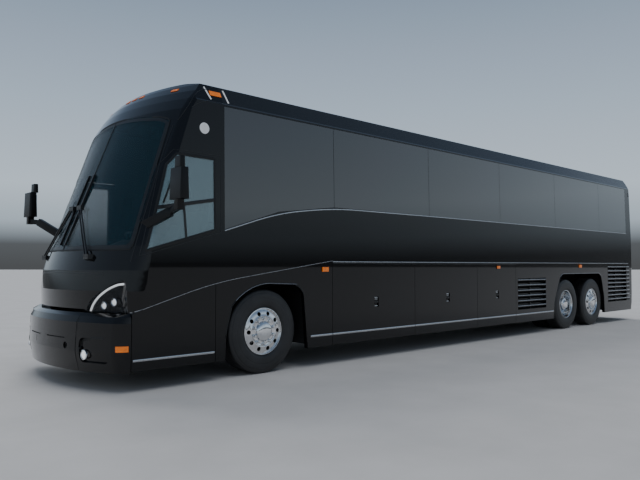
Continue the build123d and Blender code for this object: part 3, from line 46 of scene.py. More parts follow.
# Camera, solved from the photograph in the coach's own frame
CAMERA_AT = Vector((9.521, 7.382, 1.321))
CAMERA_YAW = math.radians(46.89)
CAMERA_PITCH = math.radians(2.33)
FOCAL_PX = 627.8
IMAGE_W = 640
SENSOR_MM = 36.0

# Places of the coach in metres: axles, tail, half width, wheels and the joints between bays
FRONT_X = 4.73
DRIVE_X = -3.32
TAG_X = -4.54
TAIL_X = -6.92
HALF_W = 1.295
WHEEL_FACE_Y = 1.245
TYRE_FACE_Y = 1.26
TYRE_W = 0.31
TYRE_R = 0.515
TWIN_SPACING = 0.345
SIDES = ((1, "left"), (-1, "right"))
BAY_JOINTS = [1.138, 2.913, 4.637, 5.923]


def add_object(name, data):
    """Object in the scene for some data."""
    made = bpy.data.objects.new(name, data)
    bpy.context.scene.collection.objects.link(made)
    return made


def add_camera():
    """Camera at the photograph's place and angle."""
    data = bpy.data.cameras.new("camera")
    data.sensor_width = SENSOR_MM
    data.lens = FOCAL_PX / IMAGE_W * SENSOR_MM
    data.clip_end = 200
    data.dof.use_dof = False
    camera = add_object("camera", data)
    flat = -math.cos(CAMERA_PITCH)
    ahead = Vector((math.cos(CAMERA_YAW) * flat, math.sin(CAMERA_YAW) * flat,
                    math.sin(CAMERA_PITCH)))
    camera.location = CAMERA_AT
    camera.rotation_euler = ahead.to_track_quat("-Z", "Y").to_euler()
    bpy.context.scene.camera = camera


add_camera()


# Materials


def ramp(tree, value, stops):
    """Colour ramp through (position, colour) stops."""
    node = tree.nodes.new("ShaderNodeValToRGB")
    while len(node.color_ramp.elements) < len(stops):
        node.color_ramp.elements.new(0.5)
    for element, (position, colour) in zip(node.color_ramp.elements, stops):
        element.position = position
        element.color = (*colour, 1)
    tree.links.new(value, node.inputs["Fac"])
    return node.outputs["Color"]


class Look:
    """Procedural material being built: its tree, shader and coordinates in metres."""

    def __init__(self, name):
        self.material = bpy.data.materials.new(name)
        self.material.use_nodes = True
        self.tree = self.material.node_tree
        self.shader = self.tree.nodes["Principled BSDF"]
        self.at = self.node("TexCoord", {}, "Object")

    def feed(self, inputs, node=None):
        """Set or link inputs of a node, by default the shader's."""
        node = self.shader if node is None else node
        for name, value in inputs.items():
            if isinstance(value, bpy.types.NodeSocket):
                self.tree.links.new(value, node.inputs[name])
            else:
                node.inputs[name].default_value = value

    def node(self, kind, inputs, output):
        """Output of a new node with its inputs fed."""
        node = self.tree.nodes.new(f"ShaderNode{kind}")
        self.feed(inputs, node)
        return node.outputs[output]

    def noise(self, scale, detail=3.0, roughness=0.55, at=None):
        inputs = {"Scale": scale, "Detail": detail, "Roughness": roughness}
        inputs["Vector"] = self.at if at is None else at
        return self.node("TexNoise", inputs, "Fac")

    def stretched(self, scale):
        """Coordinates scaled by axis."""
        return self.node("Mapping", {"Vector": self.at, "Scale": scale}, "Vector")

    def spread(self, value, low, high):
        """Map 0..1 to low..high."""
        return self.node("MapRange", {"Value": value, "To Min": low, "To Max": high}, "Result")

    def shade(self, value, colour, dark=0.8, low=0.3, high=0.7):
        """Base colour that varies between the colour and a darker shade of it."""
        deep = tuple(c * dark for c in colour)
        self.feed({"Base Color": ramp(self.tree, value, [(low, deep), (high, colour)])})

    def bump(self, height, strength, distance):
        """Bump from a height, which is the last step: gives the material."""
        inputs = {"Height": height, "Strength": strength, "Distance": distance}
        self.feed({"Normal": self.node("Bump", inputs, "Normal")})
        return self.material


def paint(name, colour, roughness=0.16):
    """Clear-coated gloss paint on faintly wavy panels."""
    look = Look(name)
    look.shade(look.noise(1.3), colour)
    look.feed({
        "Roughness": look.spread(look.noise(5.0), roughness - 0.04, roughness + 0.05),
        "Specular IOR Level": 0.05,
        "Coat Weight": 1.0,
        "Coat Roughness": 0.025,
        "Coat IOR": 1.38,
    })
    return look.bump(look.noise(1.0, 1.0, at=look.stretched((1.2, 1.2, 4.0))), 0.35, 0.004)


def metal(name, colour, roughness, grain, scratch=0.05):
    """Bare metal whose roughness follows a stretched grain."""
    look = Look(name)
    streaks = look.noise(1.0, 4.0, at=look.stretched(grain))
    gloss = look.spread(streaks, roughness * 0.6, roughness * 1.5)
    look.feed({"Metallic": 1.0, "Roughness": gloss})
    look.shade(streaks, colour, 0.85, 0.35, 0.65)
    return look.bump(streaks, scratch, 0.0004)


def plastic(name, colour, roughness, grain=900.0, strength=0.2, dark=0.75, shine=0.5):
    """Moulded plastic, casting or rubber with a fine grain."""
    look = Look(name)
    tone = look.noise(9.0)
    look.shade(tone, colour, dark)
    gloss = look.spread(tone, roughness - 0.06, roughness + 0.08)
    look.feed({"Roughness": gloss, "Specular IOR Level": shine})
    return look.bump(look.noise(grain, 2.0), strength, 0.0004)


def glass(name, colour, cover, reflect, coat=1.0):
    """Tinted glass: a film that hides a share of what lies behind it, under a reflection."""
    look = Look(name)
    look.shade(look.noise(0.9), colour, 0.9, 0.35, 0.65)
    look.feed({
        "Alpha": cover,
        "Roughness": 0.02,
        "Specular IOR Level": reflect,
        "Coat Weight": coat,
        "Coat Roughness": 0.01,
    })
    return look.bump(look.noise(1.6, 1.0), 0.05, 0.003)


def lens(name, colour, glow):
    """Coloured lamp lens with fine vertical flutes, lit a little from behind."""
    look = Look(name)
    look.shade(look.noise(14.0), colour, 0.6, 0.25, 0.75)
    look.feed({
        "Roughness": 0.12,
        "Coat Weight": 0.3,
        "Emission Color": (*colour, 1),
        "Emission Strength": glow,
    })
    flutes = look.node("TexWave", {"Vector": look.at, "Scale": 60.0}, "Fac")
    return look.bump(flutes, 0.35, 0.0015)


def fabric(name, colour):
    """Woven seat cloth: crossed threads, sheen and a faint two-tone fleck."""
    look = Look(name)
    light = tuple(min(1.0, c * 1.7) for c in colour)
    fleck = ramp(look.tree, look.noise(45.0, 2.0), [(0.42, colour), (0.62, light)])
    look.feed({"Base Color": fleck, "Roughness": 0.85, "Sheen Weight": 0.4})
    weave = look.node("TexChecker", {"Vector": look.at, "Scale": 420.0}, "Fac")
    return look.bump(weave, 0.4, 0.0006)


def rubber(name, colour):
    """Tyre rubber, greyer where dust holds and darker where it is dressed."""
    look = Look(name)
    dust = look.noise(5.0, 6.0, 0.7)
    grey = tuple(c * 1.9 + 0.006 for c in colour)
    look.feed({
        "Base Color": ramp(look.tree, dust, [(0.35, colour), (0.72, grey)]),
        "Roughness": look.spread(dust, 0.34, 0.6),
        "Specular IOR Level": 0.5,
    })
    return look.bump(look.noise(420.0, 3.0), 0.25, 0.0006)


def light_guide(name):
    """White lamp guide, diffuse and faintly lit."""
    look = Look(name)
    look.shade(look.noise(30.0), (0.92, 0.94, 0.96), 0.93)
    look.feed({
        "Roughness": 0.25,
        "Emission Color": (0.95, 0.97, 1.0, 1),
        "Emission Strength": 0.55,
    })
    return look.bump(look.noise(300.0), 0.1, 0.0005)


BRUSHED = (2.0, 240.0, 240.0)

# Finishes: the record's slot that each belongs to, and its material
BLACK = "black_paint", paint("black_paint", (0.0035, 0.0035, 0.004))
ROOF = "roof_paint", paint("roof_paint", (0.01, 0.011, 0.012), 0.22)
CHROME = "polished_aluminium", metal("chrome", (0.86, 0.87, 0.88), 0.06, (40.0,) * 3, 0.02)
POLISHED = "polished_aluminium", metal(
    "polished_aluminium", (0.84, 0.84, 0.84), 0.11, (30.0,) * 3, 0.03)
TRIM = "slat_metal", metal("trim_aluminium", (0.55, 0.56, 0.58), 0.22, BRUSHED)
# Bright brushed metal laid as painted highlights: along the crease, on the arch lips' tops and
# on the slats' rolled edges
EDGE_HIGHLIGHT = "slat_metal", metal("edge_highlight_metal", (0.5, 0.51, 0.53), 0.25, BRUSHED)
SATIN = "black_plastic", plastic("black_plastic", (0.009, 0.009, 0.01), 0.34)
GASKET = "black_plastic", plastic("gasket_rubber", (0.006, 0.006, 0.006), 0.55, 700.0)
MIRROR_SHELL = "black_plastic", plastic(
    "mirror_shell", (0.0025, 0.0025, 0.003), 0.36, 500.0, 0.05, shine=0.3)
BOWL = "black_plastic", metal("lamp_bowl", (0.025, 0.027, 0.03), 0.2, (20.0,) * 3)
TINT = "screen_glass", glass("screen_glass", (0.004, 0.03, 0.042), 0.38, 0.45, 0.25)
# Driver's glass: its pale blue-grey film is partly the clearer glass's tint and partly a painted
# sky reflection
SIDE_TINT_AND_REFLECTION = "screen_glass", glass("driver_glass", (0.16, 0.255, 0.28), 0.64, 0.9)
SMOKE = "smoked_glass", glass("smoked_glass", (0.003, 0.0035, 0.004), 0.95, 0.9)
CLEAR = "lamp_clear", glass("lamp_clear", (0.04, 0.042, 0.045), 0.1, 0.4, 0)
GUIDE = "lamp_clear", light_guide("light_guide")
WHITE = "lamp_clear", plastic("white_enamel", (0.8, 0.8, 0.79), 0.3, 200.0, 0.05, 0.95)
AMBER = "lamp_amber", lens("lamp_amber", (0.9, 0.2, 0.006), 0.18)
RED = "lamp_red", lens("lamp_red", (0.55, 0.01, 0.01), 0.1)
RUBBER = "tyre_rubber", rubber("tyre_rubber", (0.01, 0.01, 0.0105))
DASH = "dash_plastic", plastic("dash_plastic", (0.035, 0.036, 0.04), 0.55)
CLOTH = "seat_fabric", fabric("seat_fabric", (0.03, 0.034, 0.045))
IRON = "axle_iron", plastic("axle_iron", (0.016, 0.016, 0.016), 0.5, 150.0, 0.5)

MATERIALS = dict([
    BLACK, ROOF, POLISHED, SATIN, TINT, SMOKE, CLEAR, AMBER, RED, RUBBER, DASH, CLOTH, IRON,
    ("slat_metal", paint("slat_paint", (0.006, 0.006, 0.007), 0.3)),
    ("frame_steel", plastic("frame_steel", (0.016, 0.016, 0.017), 0.6, 300.0)),
    ("floor_panel", plastic("floor_panel", (0.035, 0.032, 0.03), 0.6, 200.0)),
    ("cast_engine", plastic("cast_engine", (0.1, 0.1, 0.1), 0.6, 120.0, 0.6)),
])

for part in frame["record"]["subparts"]:
    node = nodes[part["node"]]
    node.data.materials.clear()
    node.data.materials.append(MATERIALS[part["material_slot"]])


# Mesh helpers


def edit_mesh(mesh):
    """Edit mesh of a mesh."""
    bm = bmesh.new()
    bm.from_mesh(mesh)
    return bm


def soft_box(size, soften, segments, profile):
    """Edit mesh of a box with rounded edges."""
    bm = bmesh.new()
    bmesh.ops.create_cube(bm, size=1.0)
    bmesh.ops.scale(bm, vec=size, verts=bm.verts)
    bmesh.ops.bevel(bm, geom=bm.edges, offset=soften, segments=segments, profile=profile,
                    affect="EDGES")
    return bm


def mesh_from(bm, name):
    """Mesh made of an edit mesh, which is freed."""
    mesh = bpy.data.meshes.new(name)
    bm.to_mesh(mesh)
    bm.free()
    return mesh


def evaluated(made):
    """Mesh of an object with its modifiers applied."""
    graph = bpy.context.evaluated_depsgraph_get()
    return bpy.data.meshes.new_from_object(made.evaluated_get(graph))


def shade_smooth(mesh, sharp):
    """Smooth faces, sharp where they meet at more than an angle."""
    for polygon in mesh.polygons:
        polygon.use_smooth = True
    mesh.set_sharp_from_angle(angle=math.radians(sharp))


def finish_piece(name, mesh, finish, body="root", sharp=35.0, instead_of=None):
    """Object for a mesh, riding on a body, in place of a CAD node if one is given."""
    slot_name, material = finish
    shade_smooth(mesh, sharp)
    mesh.materials.clear()
    mesh.materials.append(material)
    piece = add_object(name, mesh)
    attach(piece, body)
    if instead_of:
        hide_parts(instead_of)
    return piece


def both_sides(build):
    """Run a builder for the left side and for the right."""
    for side, word in SIDES:
        build(side, word)


def shift(x, y, z):
    return Matrix.Translation((x, y, z))


def turned(u, v, angle):
    """Direction at an angle from u towards v."""
    return u * math.cos(angle) + v * math.sin(angle)


def turns(count):
    """Equal steps of a full turn."""
    return [2 * math.pi * k / count for k in range(count)]


def beside(path, i, closed):
    """Points before and after one point of a path."""
    last = len(path) - 1
    before = path[i - 1] if i or closed else path[i]
    after = path[0 if i == last else i + 1] if i < last or closed else path[i]
    return before, after


class Shape:
    """Vertices and faces gathered for one piece."""

    def __init__(self):
        self.verts = []
        self.faces = []

    def grid(self, rows, wrap_rows=False, wrap_cols=False):
        """Quads over rows of points, all of one length."""
        base = len(self.verts)
        width = len(rows[0])
        count = len(rows)
        for row in rows:
            self.verts.extend(tuple(p) for p in row)
        for i in range(count if wrap_rows else count - 1):
            here = base + i * width
            there = base + (i + 1) % count * width
            for j in range(width if wrap_cols else width - 1):
                k = (j + 1) % width
                self.faces.append((here + j, here + k, there + k, there + j))
        return self

    def cap(self, points):
        base = len(self.verts)
        self.verts.extend(tuple(p) for p in points)
        self.faces.append(tuple(range(base, base + len(points))))

    def sweep(self, rows, closed):
        """Skin over closed sections, capped where the path ends."""
        self.grid(rows, closed, True)
        if not closed:
            self.cap(rows[0])
            self.cap(rows[-1][::-1])
        return self

    def ribbon(self, seated, half, proud, closed=False):
        """Low crowned band along a seated path, its foot 1 mm inside the surface."""
        edge = (1.0, proud * 0.55)
        crown = (0.62, proud)
        foot = (1.0, -0.001)
        right = [crown, edge, foot]
        section = [(-u, v) for u, v in reversed(right)] + right
        path, normals = seated
        rows = []
        for i, (point, normal) in enumerate(zip(path, normals)):
            before, after = beside(path, i, closed)
            across = normal.cross(after - before).normalized()
            rows.append([point + across * half * u + normal * v for u, v in section])
        return self.sweep(rows, closed)

    def tube(self, path, radius, sides=10, closed=False):
        """Round rod along a path."""
        rows = []
        up = Vector((0, 0, 1))
        for i, point in enumerate(path):
            before, after = beside(path, i, closed)
            along = (after - before).normalized()
            first = up if abs(along.dot(up)) < 0.9 else Vector((0, 1, 0))
            u = along.cross(first).normalized()
            v = along.cross(u)
            rows.append([point + turned(u, v, angle) * radius for angle in turns(sides)])
        return self.sweep(rows, closed)

    def lathe(self, profile, origin, axis, segments=48):
        """Revolve (radius, along) points about an axis."""
        axis = axis.normalized()
        u = axis.orthogonal().normalized()
        v = axis.cross(u)
        rows = []
        for angle in turns(segments):
            out = turned(u, v, angle)
            rows.append([origin + out * r + axis * t for r, t in profile])
        return self.grid(rows, wrap_rows=True)

    def slab(self, place, size, soften):
        """Chamfered box of a size, about a centre or at a placement."""
        place = place if isinstance(place, Matrix) else Matrix.Translation(place)
        size = Vector(size)
        bm = soft_box(size, min(soften, min(size) * 0.4), 2, 0.6)
        base = len(self.verts)
        bm.verts.index_update()
        self.verts.extend(tuple(place @ vert.co) for vert in bm.verts)
        self.faces.extend(tuple(base + vert.index for vert in face.verts) for face in bm.faces)
        bm.free()
        return self

    def piece(self, name, finish, body="root", **options):
        """Piece of all that was gathered, with doubled points merged."""
        mesh = bpy.data.meshes.new(name)
        mesh.from_pydata(self.verts, [], self.faces)
        bm = edit_mesh(mesh)
        bmesh.ops.remove_doubles(bm, verts=bm.verts, dist=0.00001)
        bmesh.ops.recalc_face_normals(bm, faces=bm.faces)
        bm.to_mesh(mesh)
        bm.free()
        return finish_piece(name, mesh, finish, body, **options)


def smooth(points, per=8, closed=False):
    """Smooth curve that passes through points."""
    points = [Vector(p) for p in points]
    count = len(points)
    out = []
    for i in range(count if closed else count - 1):
        p1, p2 = points[i], points[(i + 1) % count]
        p0 = points[i - 1] if i or closed else p1 * 2 - p2
        p3 = points[(i + 2) % count] if i < count - 2 or closed else p2 * 2 - p1
        for k in range(per):
            t = k / per
            out.append(0.5 * ((2 * p1) + (p2 - p0) * t + (2 * p0 - 5 * p1 + 4 * p2 - p3) * t * t
                              + (3 * p1 - p0 - 3 * p2 + p3) * t ** 3))
    if not closed:
        out.append(points[-1])
    return out


def straight(points, step=0.06, closed=False):
    """Points along a broken line, at most a step apart."""
    points = [Vector(p) for p in points]
    out = []
    ends = points[1:] + points[:1] if closed else points[1:]
    for a, b in zip(points, ends):
        count = max(1, math.ceil((b - a).length / step))
        out.extend(a.lerp(b, k / count) for k in range(count))
    if not closed:
        out.append(points[-1])
    return out


def rounded(points, radius, steps=6):
    """Broken line whose inner corners are rounded."""
    points = [Vector(p) for p in points]
    out = [points[0]]
    for a, b, c in zip(points, points[1:], points[2:]):
        cut = min(radius, (a - b).length * 0.45, (c - b).length * 0.45)
        start = b + (a - b).normalized() * cut
        end = b + (c - b).normalized() * cut
        for k in range(steps + 1):
            t = k / steps
            out.append(start * (1 - t) ** 2 + b * 2 * t * (1 - t) + end * t * t)
    out.append(points[-1])
    return out


def arc(a, b, c, count=24):
    """Points along the circle through three points in a plane, from the first to the last."""
    a, b, c = Vector(a), Vector(b), Vector(c)
    ab, ac = b - a, c - a
    bb, cc = ab.length_squared, ac.length_squared
    spoke = Vector((ab.y * cc - ac.y * bb, ac.x * bb - ab.x * cc)) / (2 * ab.cross(ac))
    centre, radius = a - spoke, spoke.length
    return [centre + spoke.slerp(c - centre, k / count) * radius for k in range(count + 1)]


def skin_tree(names):
    """Search tree over CAD nodes."""
    verts = []
    faces = []
    for name in names:
        mesh = nodes[name].data
        base = len(verts)
        verts.extend(vert.co.copy() for vert in mesh.vertices)
        faces.extend([base + i for i in polygon.vertices] for polygon in mesh.polygons)
    return BVHTree.FromPolygons(verts, faces)


SKIN = skin_tree([
    "wall_left", "wall_right", "roof", "front_cap", "front_panel", "front_bumper",
    "side_panels", "windshield", "window_glass", "rear_cap", "rear_bumper", "entrance_door",
    "entrance_door_glass",
])
LAMP_SKIN = skin_tree(["headlamps"])


def seat_on(points, direction, reach=1.5):
    """Points moved along a direction onto the skin, and normals evened out along the path."""
    way = Vector(direction).normalized()
    places = []
    normals = []
    for point in points:
        hit, normal, _, _ = SKIN.ray_cast(point - way * reach, way, reach * 2)
        if hit is not None:
            places.append(hit)
            normals.append(normal)
    last = len(normals) - 1
    for _ in range(2):
        normals = [(normals[max(i - 1, 0)] + normal * 2 + normals[min(i + 1, last)]).normalized()
                   for i, normal in enumerate(normals)]
    return places, normals


def flank(side, points, inset=0.0):
    """Side-view (station, height) points placed on one flank."""
    return [Vector((FRONT_X + x, side * (HALF_W - inset), z)) for x, z in points]


def side_path(side, points, per=0, step=0.06, closed=False):
    """Side-view (station, height) points seated on one flank."""
    raw = flank(side, points)
    raw = smooth(raw, per) if per else straight(raw, step, closed)
    return seat_on(raw, (0, -side, 0))


def front_path(points, closed=False, per=0):
    """Front-view (y, height) points seated on the nose."""
    raw = [Vector((6.5, y, z)) for y, z in points]
    raw = smooth(raw, per, closed) if per else straight(raw, 0.05, closed)
    return seat_on(raw, (-1, 0, 0), 2.0)


# Trims on the flanks, as side-view (station, height) points

FRONT_ARCH = [
    (0.6, 0.25), (0.59, 0.52), *arc((0.504, 0.848), (0.2, 1.055), (-0.06, 1.1)),
    (-0.5, 1.08), (-0.62, 0.98), (-0.693, 0.26),
]
REAR_ARCH = [
    (-7.406, 0.26), (-7.44, 0.56), (-7.7, 1.08), (-7.8, 1.15), (-9.58, 1.15),
    (-9.69, 1.08), (-9.83, 0.62), (-9.848, 0.26),
]
BELT_LINE = [(-1.14, 1.372), (-11.24, 1.372)]
GLASS_LINE = [
    (0.607, 1.728), (-0.22, 1.981), (-1.187, 2.098), (-3.31, 2.104), (-7.55, 2.104),
    (-11.2, 2.104),
]
SERVICE_LINE = [(0.745, 0.333), (1.742, 0.333)]
CREASE_LEFT = [(1.745, 0.827), (0.742, 1.126), (-1.135, 1.384)]
CREASE_RIGHT = [(0.64, 1.142), (-1.135, 1.384)]
STRIP_Z = 0.4
STRIP_HALF = 0.013
STRIP_PROUD = 0.006
TRIM_HALF = 0.0065
TRIM_PROUD = 0.004


def flank_trims(side, word):
    """Belt, glass and skirt strips, a bright strip painted along the crease as its highlight,
    and the lips of the wheel arches with a bright tube painted on their tops as their highlight.
    """
    crease = CREASE_LEFT if side > 0 else CREASE_RIGHT
    strip = STRIP_HALF, STRIP_PROUD, TRIM
    for name, points, half, proud, finish in (
        (f"belt_strip_{word}", BELT_LINE, TRIM_HALF, TRIM_PROUD, TRIM),
        (f"glass_strip_{word}", rounded(GLASS_LINE, 0.5, 10), TRIM_HALF, TRIM_PROUD, TRIM),
        # The crease strip is a painted highlight: bright metal standing in for the light on the
        # ledge's edge
        (f"crease_highlight_strip_{word}", rounded(crease, 0.4, 10), 0.003, 0.003, EDGE_HIGHLIGHT),
        (f"skirt_strip_{word}_front", [(-0.74, STRIP_Z), (-1.133, STRIP_Z)], *strip),
        (f"skirt_strip_{word}_rear", [(-5.93, STRIP_Z), (-7.385, STRIP_Z)], *strip),
    ):
        Shape().ribbon(side_path(side, points), half, proud).piece(name, finish)
    for k in range(3):
        ends = (-BAY_JOINTS[k] - 0.005, STRIP_Z), (-BAY_JOINTS[k + 1] + 0.005, STRIP_Z)
        path = straight(flank(side, ends))
        seated = path, [Vector((0, side, 0))] * len(path)
        Shape().ribbon(seated, STRIP_HALF, STRIP_PROUD).piece(
            f"skirt_strip_{word}_door_{k + 1}", TRIM, f"bay_{word}_{k + 1}")
    for arch, line, low in (("front", FRONT_ARCH, 5), ("rear", REAR_ARCH, 2)):
        points = flank(side, line, 0.004)
        lip = Shape().tube(rounded(points, 0.09), 0.009)
        lip.piece(f"arch_lip_{arch}_{word}", BLACK)
        # A thin bright tube on each lip's top: painted highlight
        top = [point + Vector((0, side * 0.007, 0.003)) for point in points[low:-2]]
        shine = Shape().tube(rounded(top, 0.08), 0.0035, 8)
        shine.piece(f"arch_shine_{arch}_{word}", EDGE_HIGHLIGHT)


both_sides(flank_trims)
Shape().ribbon(side_path(1, SERVICE_LINE), 0.012, 0.005).piece("service_strip_left", TRIM)

# Side grilles: front and rear station, low and high edge, number of slats
LOUVRES = [(-5.996, -7.084, 0.49, 1.08, 6), (-10.05, -11.13, 0.48, 1.32, 9)]
SLAT_T = 0.022
SLAT_EDGE_R = 0.008
BACKING_INSET = 0.066
BACKING_STEP = 0.02
WRAP = (0.012, 0.18)


def slat_tops(low, high, slats):
    """Heights of the rolled edges of a grille's slats."""
    pitch = (high - low) / slats
    return [low + pitch * (k + 0.5) + SLAT_T - 0.003 for k in range(slats)]


def louvre_edge_highlights(side, word):
    """Rolled edges of the slats in bright metal as their painted highlights, their wrap behind
    the rear grille painted on the skin as bright highlight lines over dark bands of painted
    shade for the gaps, and a dark backing.
    """
    edges, wrap_highlights, gap_shade, backing = Shape(), Shape(), Shape(), Shape()
    for front_s, rear_s, low, high, slats in LOUVRES:
        for z in slat_tops(low, high, slats):
            ends = flank(side, [(front_s - 0.004, z), (rear_s + 0.004, z)], 0.004)
            # Bright metal on each rolled edge: painted highlight
            edges.tube(straight(ends, 0.3), SLAT_EDGE_R, 8)
        count = int((front_s - rear_s) / BACKING_STEP)
        rows = []
        for k in range(count + 1):
            x = FRONT_X + front_s + 0.01 + (rear_s - front_s - 0.02) * k / count
            y = side * (HALF_W - BACKING_INSET + (0.003 if k % 2 else -0.003))
            rows.append([(x, y, low - 0.01), (x, y, high + 0.01)])
        backing.grid(rows)
    _, rear_s, low, high, slats = LOUVRES[1]
    # Beyond the rear grille the slats are only painted on the skin: a bright highlight line for
    # each edge and a dark band of painted shade for the gap under it
    for z in slat_tops(low, high, slats):
        for shape, top, half, proud in (
            (wrap_highlights, z, SLAT_EDGE_R, 0.004), (gap_shade, z - 0.036, 0.022, 0.0015),
        ):
            seated = side_path(side, [(rear_s - s, top) for s in WRAP])
            shape.ribbon(seated, half, proud)
    edges.piece(f"louvre_edge_highlights_{word}", EDGE_HIGHLIGHT)
    wrap_highlights.piece(f"louvre_wrap_{word}", EDGE_HIGHLIGHT)
    gap_shade.piece(f"louvre_wrap_gap_shade_{word}", GASKET)
    backing.piece(f"louvre_backing_{word}", SATIN)


both_sides(louvre_edge_highlights)

# Latches: height of the lock, then height and width of each bright bar
LATCH_Z = 0.795
LATCH_BARS = [(0.862, 0.074), (0.838, 0.06), (0.741, 0.066)]
MARKER_X = FRONT_X - 5.311
MARKER_Z = 1.29
PADDLE = [
    (0, 0.004), (0.012, 0.004), (0.022, 0), (0.026, -0.008), (0.026, -0.022), (0, -0.022),
]


def bay_latches(side, word):
    """Bright bars and a dark lock paddle in each luggage door, a marker lamp in the last."""
    for k in range(3):
        mid = FRONT_X - (BAY_JOINTS[k] + BAY_JOINTS[k + 1]) / 2
        bars = Shape()
        for z, width in LATCH_BARS:
            bars.slab((mid, side * (HALF_W - 0.012), z), (width, 0.012, 0.007), 0.0025)
        bars.piece(f"latch_bars_{word}_{k + 1}", CHROME, f"bay_{word}_{k + 1}")
        paddle = Shape()
        origin = Vector((mid, side * (HALF_W - 0.004), LATCH_Z))
        paddle.lathe(PADDLE, origin, Vector((0, side, 0)), 28)
        paddle.slab((mid, side * (HALF_W - 0.002), LATCH_Z), (0.008, 0.01, 0.04), 0.002)
        paddle.piece(f"latch_paddle_{word}_{k + 1}", SATIN, f"bay_{word}_{k + 1}")
    place = MARKER_X, side * (HALF_W + 0.011), MARKER_Z
    lamp = Shape().slab(place, (0.104, 0.012, 0.048), 0.005)
    lamp.piece(f"door_marker_{word}", AMBER, f"bay_{word}_3")


both_sides(bay_latches)

# Side glass: smoked passenger panes, and the clearer driver's window, whose pale film colour is
# partly painted sky reflection

DRIVER_GLASS_X = FRONT_X + 0.7


def glass_from(name, finish, keep):
    """Piece made of the glass node's faces whose middle passes a test."""
    bm = edit_mesh(nodes["window_glass"].data)
    away = [face for face in bm.faces if not keep(face.calc_center_median())]
    bmesh.ops.delete(bm, geom=away, context="FACES")
    finish_piece(name, mesh_from(bm, name), finish, instead_of="window_glass")


glass_from("driver_panes", SIDE_TINT_AND_REFLECTION, lambda at: at.x > DRIVER_GLASS_X)
glass_from("passenger_panes", SMOKE, lambda at: at.x <= DRIVER_GLASS_X)

DRIVER_FRAME = [(0.663, 2.6), (0.657, 1.705), (1.658, 1.425), (1.375, 2.447), (1.262, 2.604)]
DRIVER_PANE = [(0.745, 2.551), (0.739, 1.73), (1.6, 1.48), (1.335, 2.434), (1.235, 2.561)]
DRIVER_BARS = [
    ((0.745, 2.077), (1.478, 1.945), 0.02), ((1.15, 1.985), (1.12, 1.625), 0.014),
    ((1.19, 2.545), (1.402, 2.0), 0.01),
]


def driver_window_trim():
    """Rubber frame, divider posts and outer frame line of the driver's window."""
    seated = side_path(1, DRIVER_PANE, step=0.04, closed=True)
    Shape().ribbon(seated, 0.016, 0.007, closed=True).piece("driver_window_rubber", GASKET)
    bars = Shape()
    for a, b, half in DRIVER_BARS:
        bars.ribbon(side_path(1, [a, b]), half, 0.006)
    bars.piece("driver_window_dividers", SATIN)
    seated = side_path(1, DRIVER_FRAME, step=0.04, closed=True)
    Shape().ribbon(seated, 0.004, 0.003, closed=True).piece("driver_window_frame_line", SATIN)


driver_window_trim()

# Lines of the front corners: (station, y, height), and (station, height) for the cove
HEADER_CREASE = [
    (0.846, 1.241, 3.395), (0.934, 1.212, 3.338), (1.048, 1.228, 3.163), (1.117, 1.215, 3.051),
    (1.174, 1.184, 2.957),
]
PILLAR_LINE = [
    (1.218, 1.15, 2.904), (1.337, 1.15, 2.589), (1.483, 1.17, 2.145), (1.629, 1.185, 1.679),
    (1.728, 1.19, 1.359),
]
COVE_CURVE = [
    (1.047, 3.11), (0.982, 3.161), (0.89, 3.204), (0.795, 3.224), (0.699, 3.226),
    (0.625, 3.222),
]
# Cove joints, top and foot as (station, height), where white strips are painted as the joints'
# bright edge highlights
COVE_JOINT_HIGHLIGHTS = [((0.82, 3.412), (0.77, 3.262)), ((0.556, 3.412), (0.528, 3.25))]
ROUNDEL_X, ROUNDEL_Z = FRONT_X + 0.88, 2.894
ROUNDEL = [(0, 0.002), (0.06, 0.002), (0.064, 0.0016), (0.065, -0.001), (0, -0.001)]


def front_lines(side, word):
    """Groove under the cove, creases of the corners, white strips painted on the joints by the
    cove lamps as their bright edge highlights, roundels.
    """
    lines = Shape()
    lines.ribbon(side_path(side, COVE_CURVE, 6), 0.005, 0.002)
    for points in (HEADER_CREASE, PILLAR_LINE):
        raw = smooth([(FRONT_X + x, side * y, z) for x, y, z in points])
        lines.ribbon(seat_on(raw, (-0.75, -0.66 * side, 0)), 0.005, 0.004)
    lines.piece(f"pillar_lines_{word}", SATIN)
    joints = Shape()
    for top, foot in COVE_JOINT_HIGHLIGHTS:
        ends = [(FRONT_X + x, side * y, z) for (x, z), y in ((top, 1.15), (foot, 1.24))]
        seated = seat_on(straight(ends, 0.02), (0, -side * 0.8, -0.6), 0.6)
        joints.ribbon(seated, 0.011, 0.002)
    # White strips on the cove joints: painted highlights of their bright edges
    joints.piece(f"cove_joint_highlights_{word}", ("slat_metal", WHITE[1]))
    eye = Vector((ROUNDEL_X, side * 2.0, ROUNDEL_Z))
    hit, normal, _, _ = SKIN.ray_cast(eye, Vector((0, -side, 0)))
    Shape().lathe(ROUNDEL, hit, normal, 64).piece(f"blank_roundel_{word}", WHITE)


both_sides(front_lines)

# Joints of the nose, and a band of painted shade along the fog lamps' recesses: front-view (y,
# height) points and a half width
NOSE_LINES = {
    # Dark band painted along the inner and upper edge of each fog lamp's recess, as its shade
    "fog_recess_shade": ([(0.748, 0.388), (0.75, 0.46), (0.766, 0.518), (0.847, 0.55),
                    (0.994, 0.567), (1.094, 0.568)], 0.014),
    "bumper_seam": ([(0.715, 0.755), (0.712, 0.667), (0.69, 0.54), (0.692, 0.416),
                     (0.684, 0.3)], 0.005),
    "bumper_slot": ([(0.081, 0.549), (0.269, 0.54), (0.5, 0.543)], 0.009),
}
# Rails under the windscreen: height and half width, and how far they drop at each y
NOSE_RAILS = [(1.268, 0.0045), (1.24, 0.0035)]
RAIL_DROPS = [(-0.9, 0.022), (-0.45, 0.008), (0, 0), (0.45, 0.008), (0.9, 0.022)]


